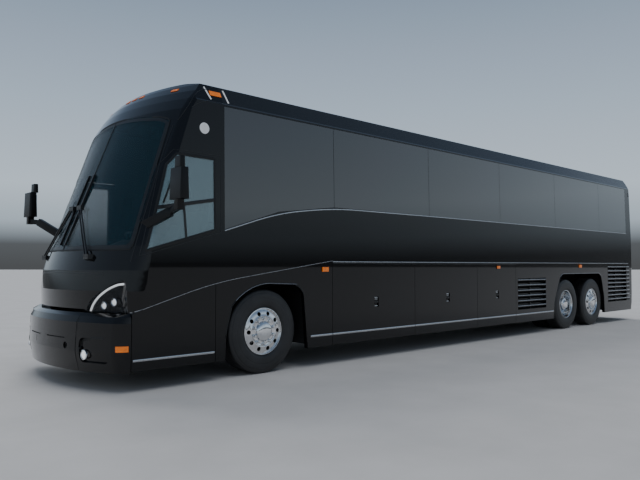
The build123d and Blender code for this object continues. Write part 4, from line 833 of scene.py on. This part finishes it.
def nose_details():
    """Dark joints of the bumper and nose panel, dark bands of painted shade along the fog lamps'
    recesses, and the rails' edges under the windscreen.
    """
    for side, word in SIDES:
        for name, (points, half) in NOSE_LINES.items():
            seated = front_path([(side * y, z) for y, z in points], per=6)
            Shape().ribbon(seated, half, 0.0015).piece(f"{name}_{word}", GASKET)
    rails = Shape()
    for z, half in NOSE_RAILS:
        path = front_path([(y, z - drop) for y, drop in RAIL_DROPS], per=8)
        rails.ribbon(path, half, 0.002)
    rails.piece("nose_rails", SATIN)


nose_details()

# Glass of the mirrors' heads: centre, width and height
MIRROR_PANES = [
    (6.0705, 1.6, 2.18, 0.158, 0.288), (6.0895, 1.6, 2.411, 0.07, 0.094),
    (6.4985, -1.6, 2.148, 0.158, 0.282), (6.4695, -1.6, 2.381, 0.07, 0.094),
]


def mirror_details():
    """Rounded edges on the mirrors' housings and arms, and the glass in each head's rear."""
    bm = edit_mesh(nodes["mirrors"].data)
    bmesh.ops.remove_doubles(bm, verts=bm.verts, dist=0.00001)
    bmesh.ops.dissolve_limit(bm, angle_limit=math.radians(2), verts=bm.verts, edges=bm.edges)
    edges = [edge for edge in bm.edges
             if len(edge.link_faces) == 2 and edge.calc_face_angle() > math.radians(35)]
    bmesh.ops.bevel(bm, geom=edges, offset=0.012, segments=3, profile=0.5, affect="EDGES",
                    clamp_overlap=True)
    finish_piece("mirror_housings", mesh_from(bm, "mirror_housings"), MIRROR_SHELL,
                 sharp=50.0, instead_of="mirrors")
    panes = Shape()
    for x, y, z, width, height in MIRROR_PANES:
        panes.slab((x, y, z), (0.004, width, height), 0.0018)
    panes.piece("mirror_glass", CHROME, instead_of="mirrors")


mirror_details()

# Windscreen in front view: half width and height of its corners, its top and its roundness
SCREEN_LOW = Vector((1.165, 1.495))
SCREEN_HIGH = Vector((1.075, 3.0))
SCREEN_TOP = 3.095
SCREEN_CORNER = 0.075


def screen_line(inset):
    """Front-view outline of the windscreen, moved inwards."""
    low = SCREEN_LOW + Vector((-inset, inset))
    high = SCREEN_HIGH - Vector((inset, inset))
    crown = SCREEN_TOP - inset
    up = (high - low).normalized() * SCREEN_CORNER
    side = Vector((SCREEN_CORNER, 0))
    dip = Vector((SCREEN_CORNER, -0.1 * SCREEN_CORNER))
    points = [low - side, low + (up - side) * 0.3, low + up]
    points += [low.lerp(high, share) for share in (0.25, 0.5, 0.75)]
    points += [high - up, high - (up + dip) * 0.3]
    mirrored = [Vector((-p.x, p.y)) for p in reversed(points)]
    for k in range(1, 16):
        t = 1 - k / 8
        points.append(Vector((high.x * t, crown - (crown - high.y) * t ** 2)))
    return points + mirrored + [Vector((low.x * share, low.y)) for share in (-0.5, 0.0, 0.5)]


def screen_surround():
    """Rubber gasket with the bonded seam between the panes, and the dark printed band."""
    gasket = Shape()
    gasket.ribbon(front_path(screen_line(0.0), True, 4), 0.011, 0.006, closed=True)
    gasket.ribbon(front_path([(0.006, 1.505), (0.006, 3.088)]), 0.011, 0.004)
    gasket.piece("screen_gasket", GASKET)
    seated = front_path(screen_line(0.028), True, 4)
    Shape().ribbon(seated, 0.02, 0.0012, closed=True).piece("screen_band", SATIN)


screen_surround()

# Headlamps: bowl, lenses, light guide and clear cover, cut from the lamp units' own outline

LENSES = [(0.905, 0.892), (1.033, 0.932)]
LENS_REACH = 0.05
LAMP_LOW_Z = 0.6
FOG_LAMP = (0.819, 0.381)
BOWL_DEPTH = 0.052
GUIDE_R = 0.0115
GUIDE_LINE = [
    (6.695, 0.691, 0.826), (6.686, 0.746, 0.919), (6.66, 0.835, 1.007), (6.613, 0.95, 1.085),
    (6.556, 1.064, 1.136), (6.512, 1.15, 1.15),
]
LENS_RING = [
    (0.034, 0.004), (0.04, 0.01), (0.046, 0.006), (0.047, -0.012), (0.034, -0.012),
]
LENS_BALL = [
    (0, 0.012), (0.01, 0.0115), (0.02, 0.009), (0.028, 0.004), (0.034, -0.003),
    (0.034, -0.01), (0, -0.01),
]
FOG_LENS = [
    (0, 0.01), (0.018, 0.009), (0.034, 0.006), (0.042, 0.001), (0.042, -0.008), (0, -0.008),
]
FOG_RING = [
    (0.042, 0.004), (0.046, 0.01), (0.053, 0.008), (0.056, -0.002), (0.056, -0.01),
    (0.042, -0.01),
]


def lamp_faces(side):
    """Faces of one lamp unit that look ahead and outwards, with the lenses' bores filled."""
    bm = edit_mesh(nodes["headlamps"].data)
    bm.normal_update()
    away = []
    for face in bm.faces:
        centre = face.calc_center_median()
        n = face.normal
        ours = centre.z > LAMP_LOW_Z and side * centre.y > 0
        if not (ours and n.x > 0.03 and side * n.y > 0.12 and abs(n.z) < 0.5):
            away.append(face)
    bmesh.ops.delete(bm, geom=away, context="FACES")
    bmesh.ops.remove_doubles(bm, verts=bm.verts, dist=0.0001)
    bores = [Vector((side * y, z)) for y, z in LENSES]
    loops = [edge for edge in bm.edges if edge.is_boundary
             and any((edge.verts[0].co.yz - bore).length < LENS_REACH for bore in bores)]
    bmesh.ops.holes_fill(bm, edges=loops, sides=0)
    return bm


def lamp_point(side, y, z):
    """Point of the lamps' faces at a front-view (y, height)."""
    return LAMP_SKIN.ray_cast(Vector((8, side * y, z)), Vector((-1, 0, 0)))[0]


def headlamps(side, word):
    """Bowl, cover, rings, lenses, light guide and fog lamp on each side."""
    lamp = {"instead_of": "headlamps"}
    inwards = Vector((-0.86, -0.5 * side, 0))
    bm = lamp_faces(side)
    cover = bpy.data.meshes.new(f"headlamp_cover_{word}")
    bm.to_mesh(cover)
    grown = bmesh.ops.extrude_face_region(bm, geom=bm.faces[:])
    moved = [item for item in grown["geom"] if isinstance(item, bmesh.types.BMVert)]
    bmesh.ops.translate(bm, vec=inwards * BOWL_DEPTH, verts=moved)
    outer = [f for f in bm.faces if all(v not in moved for v in f.verts)]
    bmesh.ops.delete(bm, geom=outer, context="FACES")
    bmesh.ops.recalc_face_normals(bm, faces=bm.faces)
    bowl = mesh_from(bm, f"headlamp_bowl_{word}")
    finish_piece(f"headlamp_bowl_{word}", bowl, BOWL, **lamp)
    cover_piece = finish_piece(f"headlamp_cover_{word}", cover, CLEAR, **lamp)
    thick = cover_piece.modifiers.new("thick", "SOLIDIFY")
    thick.thickness = 0.003
    thick.offset = -1
    rings = Shape()
    balls = Shape()
    ahead = Vector((1, 0.25 * side, 0))
    for y, z in LENSES:
        place = lamp_point(side, y, z) + Vector((0.004, 0, 0))
        rings.lathe(LENS_RING, place, ahead, 40)
        balls.lathe(LENS_BALL, place, ahead, 40)
    rings.piece(f"headlamp_rings_{word}", CHROME, **lamp)
    balls.piece(f"headlamp_lenses_{word}", GUIDE, **lamp)
    line = []
    for x, y, z in GUIDE_LINE:
        place = Vector((x, side * y, z)) + inwards * 0.012
        line.append(place + Vector((6.55 - x, 0, 0.86 - z)).normalized() * 0.024)
    guide = Shape().tube(smooth(line), GUIDE_R, 12)
    guide.piece(f"headlamp_guide_{word}", GUIDE, **lamp)
    hit = lamp_point(side, *FOG_LAMP)
    ahead = Vector((1, 0.2 * side, 0))
    Shape().lathe(FOG_LENS, hit, ahead, 40).piece(f"fog_lens_{word}", GUIDE, **lamp)
    Shape().lathe(FOG_RING, hit, ahead, 40).piece(f"fog_ring_{word}", CHROME, **lamp)


both_sides(headlamps)

# Wheels

TYRE_SEGMENTS = 168
TREAD_GROOVES = [0.086, 0.132, 0.178, 0.224]
GROOVE_HALF = 0.0065
GROOVE_R = TYRE_R - 0.013
SHOULDER = (0.046, 0.5145)
ZIGZAG = 0.003
SIDEWALL = [
    (0.034, 0.286), (0.022, 0.291), (0.014, 0.299), (0.009, 0.312), (0.0065, 0.318),
    (0.0045, 0.322), (0.003, 0.334), (0.001, 0.36), (0, 0.385), (0, 0.392),
    (0.0025, 0.397), (0.0015, 0.402), (0.003, 0.43), (0.006, 0.452), (0.0085, 0.47),
    (0.0125, 0.474), (0.013, 0.484), (0.018, 0.497), (0.025, 0.507), (0.034, 0.5125),
]


def tyre_profile(zigzag):
    """Section from the outer bead to the inner bead: (inwards, radius, kind, sway)."""
    inset, radius = SHOULDER
    points = [(w, r, "wall", 0) for w, r in SIDEWALL]
    points.append((inset, radius, "edge", 0))
    for groove in TREAD_GROOVES:
        points.append((groove - GROOVE_HALF - 0.001, TYRE_R, "edge", zigzag))
        points.append((groove - GROOVE_HALF + 0.002, GROOVE_R, "groove", zigzag))
        points.append((groove + GROOVE_HALF - 0.002, GROOVE_R, "groove", zigzag))
        points.append((groove + GROOVE_HALF + 0.001, TYRE_R, "edge", zigzag))
    points.append((TYRE_W - inset, radius, "edge", 0))
    points.extend((TYRE_W - w, r, "wall", 0) for w, r in reversed(SIDEWALL))
    return points


def on_wheel(x, y, r, angle):
    """Point at a radius and an angle about an axle."""
    return Vector((x + r * math.sin(angle), y, TYRE_R + r * math.cos(angle)))


def add_tyre(shape, x, side, outer_y, zigzag):
    """One tyre with ribbed sidewalls, tread grooves and small cuts along the ribs' edges."""
    rows = []
    profile = tyre_profile(zigzag)
    for k, angle in enumerate(turns(TYRE_SEGMENTS)):
        sway = 1 if k % 4 < 2 else -1
        row = []
        for w, r, kind, swing in profile:
            if kind == "edge" and k % 3 == 0:
                r -= 0.0045
            if kind == "wall" and 0.474 < r < 0.508 and k % 6 == 0:
                r -= 0.0035
            row.append(on_wheel(x, side * (outer_y - w - swing * sway), r, angle))
        rows.append(row)
    shape.grid(rows, wrap_rows=True, wrap_cols=True)


def cut_holes(piece, x, side, pitch_r, hole_r):
    """Round hand holes cut through a wheel disc."""
    tools = bmesh.new()
    across = Matrix.Rotation(math.pi / 2, 4, "X")
    for k in range(HAND_HOLES):
        at = on_wheel(x, side * 1.15, pitch_r, 2 * math.pi * (k + 0.5) / HAND_HOLES)
        bmesh.ops.create_cone(tools, cap_ends=True, segments=28, radius1=hole_r,
                              radius2=hole_r, depth=0.5, matrix=Matrix.Translation(at) @ across)
    cutter = add_object("hole_tools", mesh_from(tools, "hole_tools"))
    cut = piece.modifiers.new("holes", "BOOLEAN")
    cut.operation = "DIFFERENCE"
    cut.solver = "EXACT"
    cut.object = cutter
    bpy.context.view_layer.update()
    result = evaluated(piece)
    piece.modifiers.clear()
    piece.data = result
    shade_smooth(result, 32)
    bpy.data.objects.remove(cutter)


# Profiles of (radius, outwards from the wheel's face)
SINGLE_DISC = [
    (0.2895, -0.012), (0.2893, -0.004), (0.2865, 0.001), (0.2815, 0.002), (0.2785, -0.002),
    (0.276, -0.01), (0.272, -0.016), (0.266, -0.015), (0.255, -0.009), (0.24, -0.002),
    (0.22, 0.003), (0.198, 0.006), (0.193, 0.01), (0.188, 0.012), (0.183, 0.011),
    (0.179, 0.006), (0.174, 0.004), (0.128, 0.004), (0, 0.002), (0, -0.05),
    (0.23, -0.05), (0.252, -0.06), (0.255, -0.19), (0.27, -0.23), (0.2895, -0.255),
]
HUB_DOME = [
    (0.126, 0.003), (0.126, 0.007), (0.1235, 0.01), (0.1215, 0.012), (0.1195, 0.018),
    (0.115, 0.026), (0.106, 0.0335), (0.093, 0.0395), (0.076, 0.044), (0.056, 0.047),
    (0.03, 0.0488), (0, 0.0495), (0, 0.001),
]
DISHED_DISC = [
    (0.2895, -0.012), (0.289, -0.004), (0.286, 0.001), (0.279, 0.002), (0.274, -0.002),
    (0.27, -0.012), (0.264, -0.04), (0.258, -0.09), (0.256, -0.14), (0.25, -0.158),
    (0.238, -0.166), (0.205, -0.168), (0.176, -0.166), (0.172, -0.161), (0.168, -0.16),
    (0.124, -0.16), (0, -0.162), (0, -0.176), (0.23, -0.18), (0.252, -0.185),
    (0.258, -0.2), (0.27, -0.235), (0.2895, -0.255),
]
DRIVE_HUB = [
    (0.12, -0.165), (0.12, -0.05), (0.117, -0.04), (0.108, -0.034), (0.092, -0.03),
    (0.088, -0.018), (0.08, -0.01), (0.05, -0.006), (0, -0.005), (0, -0.165),
]
INNER_RIM = [
    (0.262, 0), (0.262, 0.344), (0.2895, 0.344), (0.2895, 0.3), (0.272, 0.28),
    (0.272, 0.06), (0.2895, 0.04), (0.2895, 0),
]
NUT_WASHER = [(0, 0.001), (0.0225, 0.001), (0.0225, 0.005), (0.019, 0.006)]
NUT_CAP = [(0, 0.005), (0.0185, 0.005), (0.0185, 0.024), (0.015, 0.03), (0, 0.0325)]
LUG_PITCH_R = 0.151
NUTS = 10
HAND_HOLES = 10
SINGLE_HOLE = (0.222, 0.026)
TWIN_HOLE = (0.205, 0.03)
DISH = 0.16
DRUM_R = 0.205

# Axle, node name, stem of the body's name, whether the wheels are twins
STATIONS = [
    (FRONT_X, "front", "wheel_front", False), (TAG_X, "tag", "wheel_tag", False),
    (DRIVE_X, "drive", "wheels_drive", True),
]


def wheels(side, word):
    """Tyres, discs with hand holes, hubs, nuts and brake drums of the six wheel bodies."""
    axis = Vector((0, side, 0))
    for x, name, stem, twin in STATIONS:
        body = f"{stem}_{word}"
        rim = {"body": body, "sharp": 30.0, "instead_of": f"rim_{name}_{word}"}
        end = f"{name}_{word}"
        tyre = Shape()
        for inset in (0, TWIN_SPACING) if twin else (0,):
            add_tyre(tyre, x, side, TYRE_FACE_Y - inset, ZIGZAG if twin else 0.0)
        tyre.piece(f"tyre_{end}_detail", RUBBER, body, sharp=40.0, instead_of=f"tyre_{end}")
        face = Vector((x, side * WHEEL_FACE_Y, TYRE_R))
        disc = Shape().lathe(DISHED_DISC if twin else SINGLE_DISC, face, axis, 96)
        disc_piece = disc.piece(f"wheel_disc_{end}", POLISHED, **rim)
        cut_holes(disc_piece, x, side, *(TWIN_HOLE if twin else SINGLE_HOLE))
        hub = Shape().lathe(DRIVE_HUB if twin else HUB_DOME, face, axis, 72)
        hub.piece(f"wheel_hub_{end}", CHROME, **rim)
        nuts = Shape()
        seat_y = side * (WHEEL_FACE_Y - (DISH if twin else -0.004))
        for angle in turns(NUTS):
            origin = on_wheel(x, seat_y, LUG_PITCH_R, angle)
            nuts.lathe(NUT_WASHER, origin, axis, 20)
            nuts.lathe(NUT_CAP, origin, axis, 6)
        nuts.piece(f"wheel_nuts_{end}", CHROME, **{**rim, "sharp": 25.0})
        if twin:
            start = Vector((x, side * (WHEEL_FACE_Y - 0.176), TYRE_R))
            inner = Shape().lathe(INNER_RIM, start, -axis, 72)
            inner.piece(f"wheel_inner_rim_{word}", POLISHED, **rim)
        depth = 0.48 if twin else 0.17
        start = Vector((x, side * (WHEEL_FACE_Y - (0.17 if twin else 0.045)), TYRE_R))
        drum = Shape().lathe([(0.05, 0), (0.12, 0), (0.2, 0.01), (DRUM_R, 0.04),
                              (DRUM_R, depth), (0.05, depth)], start, -axis, 48)
        drum.piece(f"brake_drum_{end}", IRON, **rim)


both_sides(wheels)

# Seats

PAD_W = 0.47
SEAT_ROWS = 13
SEAT_PITCH = 0.815
SEAT_FIRST_X = FRONT_X + 0.06
SEAT_INNER_Y = 0.2
SEAT_OUTER_Y = 1.205
SEAT_MID_Y = (SEAT_INNER_Y + SEAT_OUTER_Y) / 2
PAD_YS = (SEAT_INNER_Y + 0.2525, SEAT_OUTER_Y - 0.2525)
ARM_YS = (SEAT_INNER_Y + 0.012, SEAT_MID_Y, SEAT_OUTER_Y - 0.012)
LEG_YS = (0.305, 1.11)
FLOOR_Z = 1.35
COCKPIT_Z = 0.95
DRIVER_Y = 0.7
# Pan, armrests, their posts and legs: distances outwards, ahead and up, size, chamfer
SEAT_SHELL = [
    ((SEAT_MID_Y,), -0.245, 0.34, (0.44, 0.98, 0.03), 0.01),
    (ARM_YS, -0.27, 0.585, (0.33, 0.03, 0.028), 0.01),
    (ARM_YS, -0.4, 0.47, (0.03, 0.022, 0.24), 0.006),
    (LEG_YS, -0.24, 0.18, (0.3, 0.04, 0.31), 0.008),
]
CLOTH_STEPS = 20
PRESSURE = 4.0
STIFFNESS = 25.0


def blow_up(pad, cap):
    """Cloth simulation of a pad under pressure; no point moves more than the cap."""
    base = pad.data
    cloth = pad.modifiers.new("cloth", "CLOTH")
    cloth.settings.use_pressure = True
    cloth.settings.uniform_pressure_force = PRESSURE
    cloth.settings.effector_weights.gravity = 0.0
    cloth.settings.tension_stiffness = STIFFNESS
    cloth.settings.compression_stiffness = STIFFNESS
    cloth.point_cache.frame_start = 1
    cloth.point_cache.frame_end = CLOTH_STEPS
    scene = bpy.context.scene
    for number in range(1, CLOTH_STEPS + 1):
        scene.frame_set(number)
    blown = evaluated(pad)
    for before, after in zip(base.vertices, blown.vertices):
        move = after.co - before.co
        if move.length > cap:
            after.co = before.co + move.normalized() * cap
    pad.modifiers.clear()
    pad.data = blown
    scene.frame_set(1)


def puffed(name, size, soften, voxel, cap, faces):
    """Cushion blown up from a slightly smaller block, then thinned to a number of faces."""
    bm = soft_box(Vector(size), soften, 4, 0.5)
    bmesh.ops.triangulate(bm, faces=bm.faces)
    pad = add_object(name, mesh_from(bm, "pad_start"))
    bpy.context.view_layer.update()
    remesh = pad.modifiers.new("remesh", "REMESH")
    remesh.mode = "VOXEL"
    remesh.voxel_size = voxel
    base = evaluated(pad)
    pad.modifiers.clear()
    pad.data = base
    blow_up(pad, cap)
    thin = pad.modifiers.new("thin", "DECIMATE")
    thin.ratio = min(1.0, faces / max(1, sum(len(p.vertices) - 2 for p in pad.data.polygons)))
    bpy.context.view_layer.update()
    result = evaluated(pad)
    bpy.data.objects.remove(pad)
    return result


def padded_piece(name, jobs, instead_of):
    """Padded piece made of several cushions, each at its own placements."""
    bm = bmesh.new()
    for mesh, places in jobs:
        for place in places:
            before = len(bm.verts)
            bm.from_mesh(mesh)
            bm.verts.ensure_lookup_table()
            bmesh.ops.transform(bm, matrix=place, verts=bm.verts[before:])
    piece = finish_piece(name, mesh_from(bm, name), CLOTH, sharp=60.0, instead_of=instead_of)


def passenger_seats():
    """Double seats: blown cushions and backs on moulded shells, legs and rails."""
    cushion = puffed("cushion_form", (0.44, PAD_W - 0.03, 0.09), 0.03, 0.018, 0.02, 620)
    back = puffed("back_form", (0.075, PAD_W - 0.03, 0.7), 0.028, 0.02, 0.018, 700)
    head = puffed("head_form", (0.06, PAD_W - 0.12, 0.17), 0.024, 0.016, 0.012, 260)
    lean = Matrix.Rotation(-math.atan2(0.14, 0.72), 4, "Y")
    for side, word in SIDES:
        cushion_places = []
        back_places = []
        shell = Shape()
        for k in range(SEAT_ROWS):
            x = SEAT_FIRST_X - SEAT_PITCH * k
            for y in PAD_YS:
                cushion_places.append(shift(x - 0.245, side * y, FLOOR_Z + 0.41))
                back_at = shift(x - 0.52, side * y, FLOOR_Z + 0.79) @ lean
                back_places.append(back_at)
                shell.slab(back_at @ shift(-0.048, 0, -0.01), (0.022, 0.45, 0.7), 0.01)
            for ys, dx, dz, size, soften in SEAT_SHELL:
                for y in ys:
                    shell.slab((x + dx, side * y, FLOOR_Z + dz), size, soften)
        for y in LEG_YS:
            length = SEAT_PITCH * (SEAT_ROWS - 1) + 0.48
            middle = SEAT_FIRST_X - length / 2
            shell.slab((middle, side * y, FLOOR_Z + 0.016), (length, 0.05, 0.028), 0.004)
        head_places = [place @ shift(0.03, 0, 0.27) for place in back_places]
        padded_piece(f"seat_cushions_{word}", [(cushion, cushion_places)], "passenger_seats")
        padded_piece(f"seat_backs_{word}", [(back, back_places), (head, head_places)],
                     "passenger_seats")
        shell.piece(f"seat_frames_{word}", SATIN, instead_of="passenger_seats")


passenger_seats()


def driver_seat():
    """Driver's seat: cushion, back with bolsters, headrest and a sprung pedestal."""
    x, y, z = FRONT_X + 0.95, DRIVER_Y, COCKPIT_Z
    lean = Matrix.Rotation(-math.atan2(0.16, 0.71), 4, "Y")
    cushion = puffed("driver_cushion_form", (0.47, 0.46, 0.095), 0.032, 0.016, 0.022, 1200)
    back = puffed("driver_back_form", (0.08, 0.44, 0.56), 0.032, 0.016, 0.02, 1400)
    bolster = puffed("driver_bolster_form", (0.11, 0.07, 0.48), 0.028, 0.012, 0.01, 500)
    head = puffed("driver_head_form", (0.07, 0.26, 0.15), 0.028, 0.012, 0.012, 500)
    back_at = shift(x - 0.27, y, z + 0.78) @ lean
    padded_piece("driver_cushion", [(cushion, [shift(x - 0.005, y, z + 0.388)])], "driver_seat")
    padded_piece("driver_backrest", [
        (back, [back_at]),
        (bolster, [back_at @ shift(0.02, 0.205 * s, -0.01) for s in (-1, 1)]),
        (head, [back_at @ shift(0.005, 0, 0.33)]),
    ], "driver_seat")
    base = Shape()
    base.slab((x, y, z + 0.0305), (0.38, 0.34, 0.059), 0.012)
    for k in range(7):
        fold = 0.024 if k % 2 else 0
        base.slab((x, y, z + 0.075 + 0.03 * k), (0.3 - fold, 0.26 - fold, 0.03), 0.008)
    base.slab((x - 0.005, y, z + 0.3), (0.45, 0.45, 0.06), 0.02)
    base.slab(back_at @ shift(-0.052, 0, -0.03), (0.026, 0.42, 0.6), 0.012)
    base.piece("driver_seat_base", SATIN, instead_of="driver_seat")


driver_seat()


def cockpit():
    """Steering wheel with a round rim, spokes and horn pad; instrument hood over the dash."""
    tilt = math.radians(35)
    origin = Vector((FRONT_X + 1.35, DRIVER_Y, 1.56))
    up = Vector((-math.sin(tilt), 0, math.cos(tilt)))
    across = Vector((0, 1, 0))
    fore = across.cross(up)
    wheel = Shape()
    circle = [origin + up * 0.014 + turned(across, fore, a) * 0.214 for a in turns(64)]
    wheel.tube(circle, 0.0145, 12, closed=True)
    for degrees in (12, 168, 270):
        out = turned(across, fore, math.radians(degrees))
        spoke = [origin + up * lift + out * r
                 for lift, r in ((0.008, 0.05), (0.006, 0.13), (0.013, 0.206))]
        wheel.tube(spoke, 0.011, 8)
    wheel.lathe([(0, 0.032), (0.04, 0.03), (0.062, 0.022), (0.07, 0.006),
                 (0.06, -0.012), (0, -0.014)], origin, up, 40)
    wheel.tube([origin - up * 0.22, origin - up * 0.01], 0.033, 24)
    wheel.piece("steering_wheel_detail", DASH, instead_of="steering_wheel")
    rows = []
    for k in range(13):
        t = k / 12
        y = DRIVER_Y + 0.72 * (t - 0.5)
        lift = math.sin(math.pi * t) ** 0.5 if 0 < t < 1 else 0.0
        section = ((1.5, 1.48), (1.512, 1.482 + 0.115 * lift),
                   (1.56, 1.486 + 0.128 * lift), (1.68, 1.486 + 0.07 * lift), (1.7, 1.478))
        rows.append([(FRONT_X + x, y, z) for x, z in section])
    hood = Shape().grid(rows).piece("instrument_hood", DASH, sharp=50.0)
    hood.modifiers.new("thick", "SOLIDIFY").thickness = 0.006


cockpit()

# Tail

TAIL_LAMP_ZS = (0.72, 0.9, 1.08, 1.26)
TAIL_LAMP_Y = 0.96
PLATE_Z = 0.47
VENT_ZS = (3.036, 3.068, 3.1)


def tail():
    """Lamp bezels, blank number plate, reflectors that glow faintly as painted light, and dark
    vents high on the rear corners.
    """
    bezels, reflectors, vents = Shape(), Shape(), Shape()
    for side, _ in SIDES:
        for z in TAIL_LAMP_ZS:
            ring = [(TAIL_X + 0.0095, side * TAIL_LAMP_Y + dy, z + dz)
                    for dy, dz in ((-0.05, -0.07), (0.05, -0.07), (0.05, 0.07), (-0.05, 0.07))]
            path = straight(ring, 0.03, True)
            bezels.ribbon((path, [Vector((-1, 0, 0))] * len(path)), 0.005, 0.006, closed=True)
        hit = SKIN.ray_cast(Vector((-9, side * 0.78, 0.5)), Vector((1, 0, 0)))[0]
        reflectors.slab(hit + Vector((-0.002, 0, 0)), (0.01, 0.15, 0.05), 0.004)
        for z in VENT_ZS:
            vents.ribbon(side_path(side, [(-11.37, z), (-11.47, z)]), 0.009, 0.002)
    plate = Shape().slab((TAIL_X + 0.026, 0, PLATE_Z), (0.004, 0.304, 0.152), 0.0015)
    bezels.piece("tail_lamp_bezels", SATIN)
    plate.piece("blank_number_plate", WHITE)
    # The reflectors take the red lamp lens, so they glow faintly though they hold no lamp:
    # painted light
    reflectors.piece("rear_reflectors", RED)
    vents.piece("rear_vents", GASKET)


tail()

# Studio: stops of height and colour, dark at the horizon; suns of energy and direction
SKY = [
    (0, (0.08, 0.085, 0.09)), (0.032, (0.1, 0.11, 0.12)), (0.066, (0.42, 0.5, 0.57)),
    (0.12, (0.57, 0.67, 0.76)), (0.24, (0.44, 0.54, 0.66)), (0.48, (0.18, 0.25, 0.36)),
    (1.0, (0.11, 0.16, 0.25)),
]
SUNS = {
    "key": (2.1, (0.25, 0.82, -0.75)),
    "ceiling": (1.5, (0.05, -0.25, -1.0)),
    "front": (0.35, (-0.85, -0.3, -0.45)),
}


def add_stage():
    """Pale floor and soft studio light."""
    bm = bmesh.new()
    bmesh.ops.create_grid(bm, x_segments=1, y_segments=1, size=400)
    floor = add_object("floor", mesh_from(bm, "floor"))
    look = Look("floor_pale")
    look.shade(look.noise(1.5, 6.0), (0.46, 0.45, 0.44), 0.9)
    look.feed({"Roughness": 0.8})
    floor.data.materials.append(look.material)
    world = bpy.data.worlds.new("studio")
    bpy.context.scene.world = world
    world.use_nodes = True
    tree = world.node_tree
    coords = tree.nodes.new("ShaderNodeTexCoord")
    parts = tree.nodes.new("ShaderNodeSeparateXYZ")
    tree.links.new(coords.outputs["Generated"], parts.inputs["Vector"])
    background = tree.nodes["Background"]
    tree.links.new(ramp(tree, parts.outputs["Z"], SKY), background.inputs["Color"])
    background.inputs["Strength"].default_value = 1.0
    for name, (energy, towards) in SUNS.items():
        light = bpy.data.lights.new(name, "SUN")
        light.energy = energy
        light.angle = math.radians(50)
        lamp = add_object(name, light)
        lamp.rotation_euler = Vector(towards).to_track_quat("-Z", "Y").to_euler()
        lamp.visible_glossy = False


add_stage()
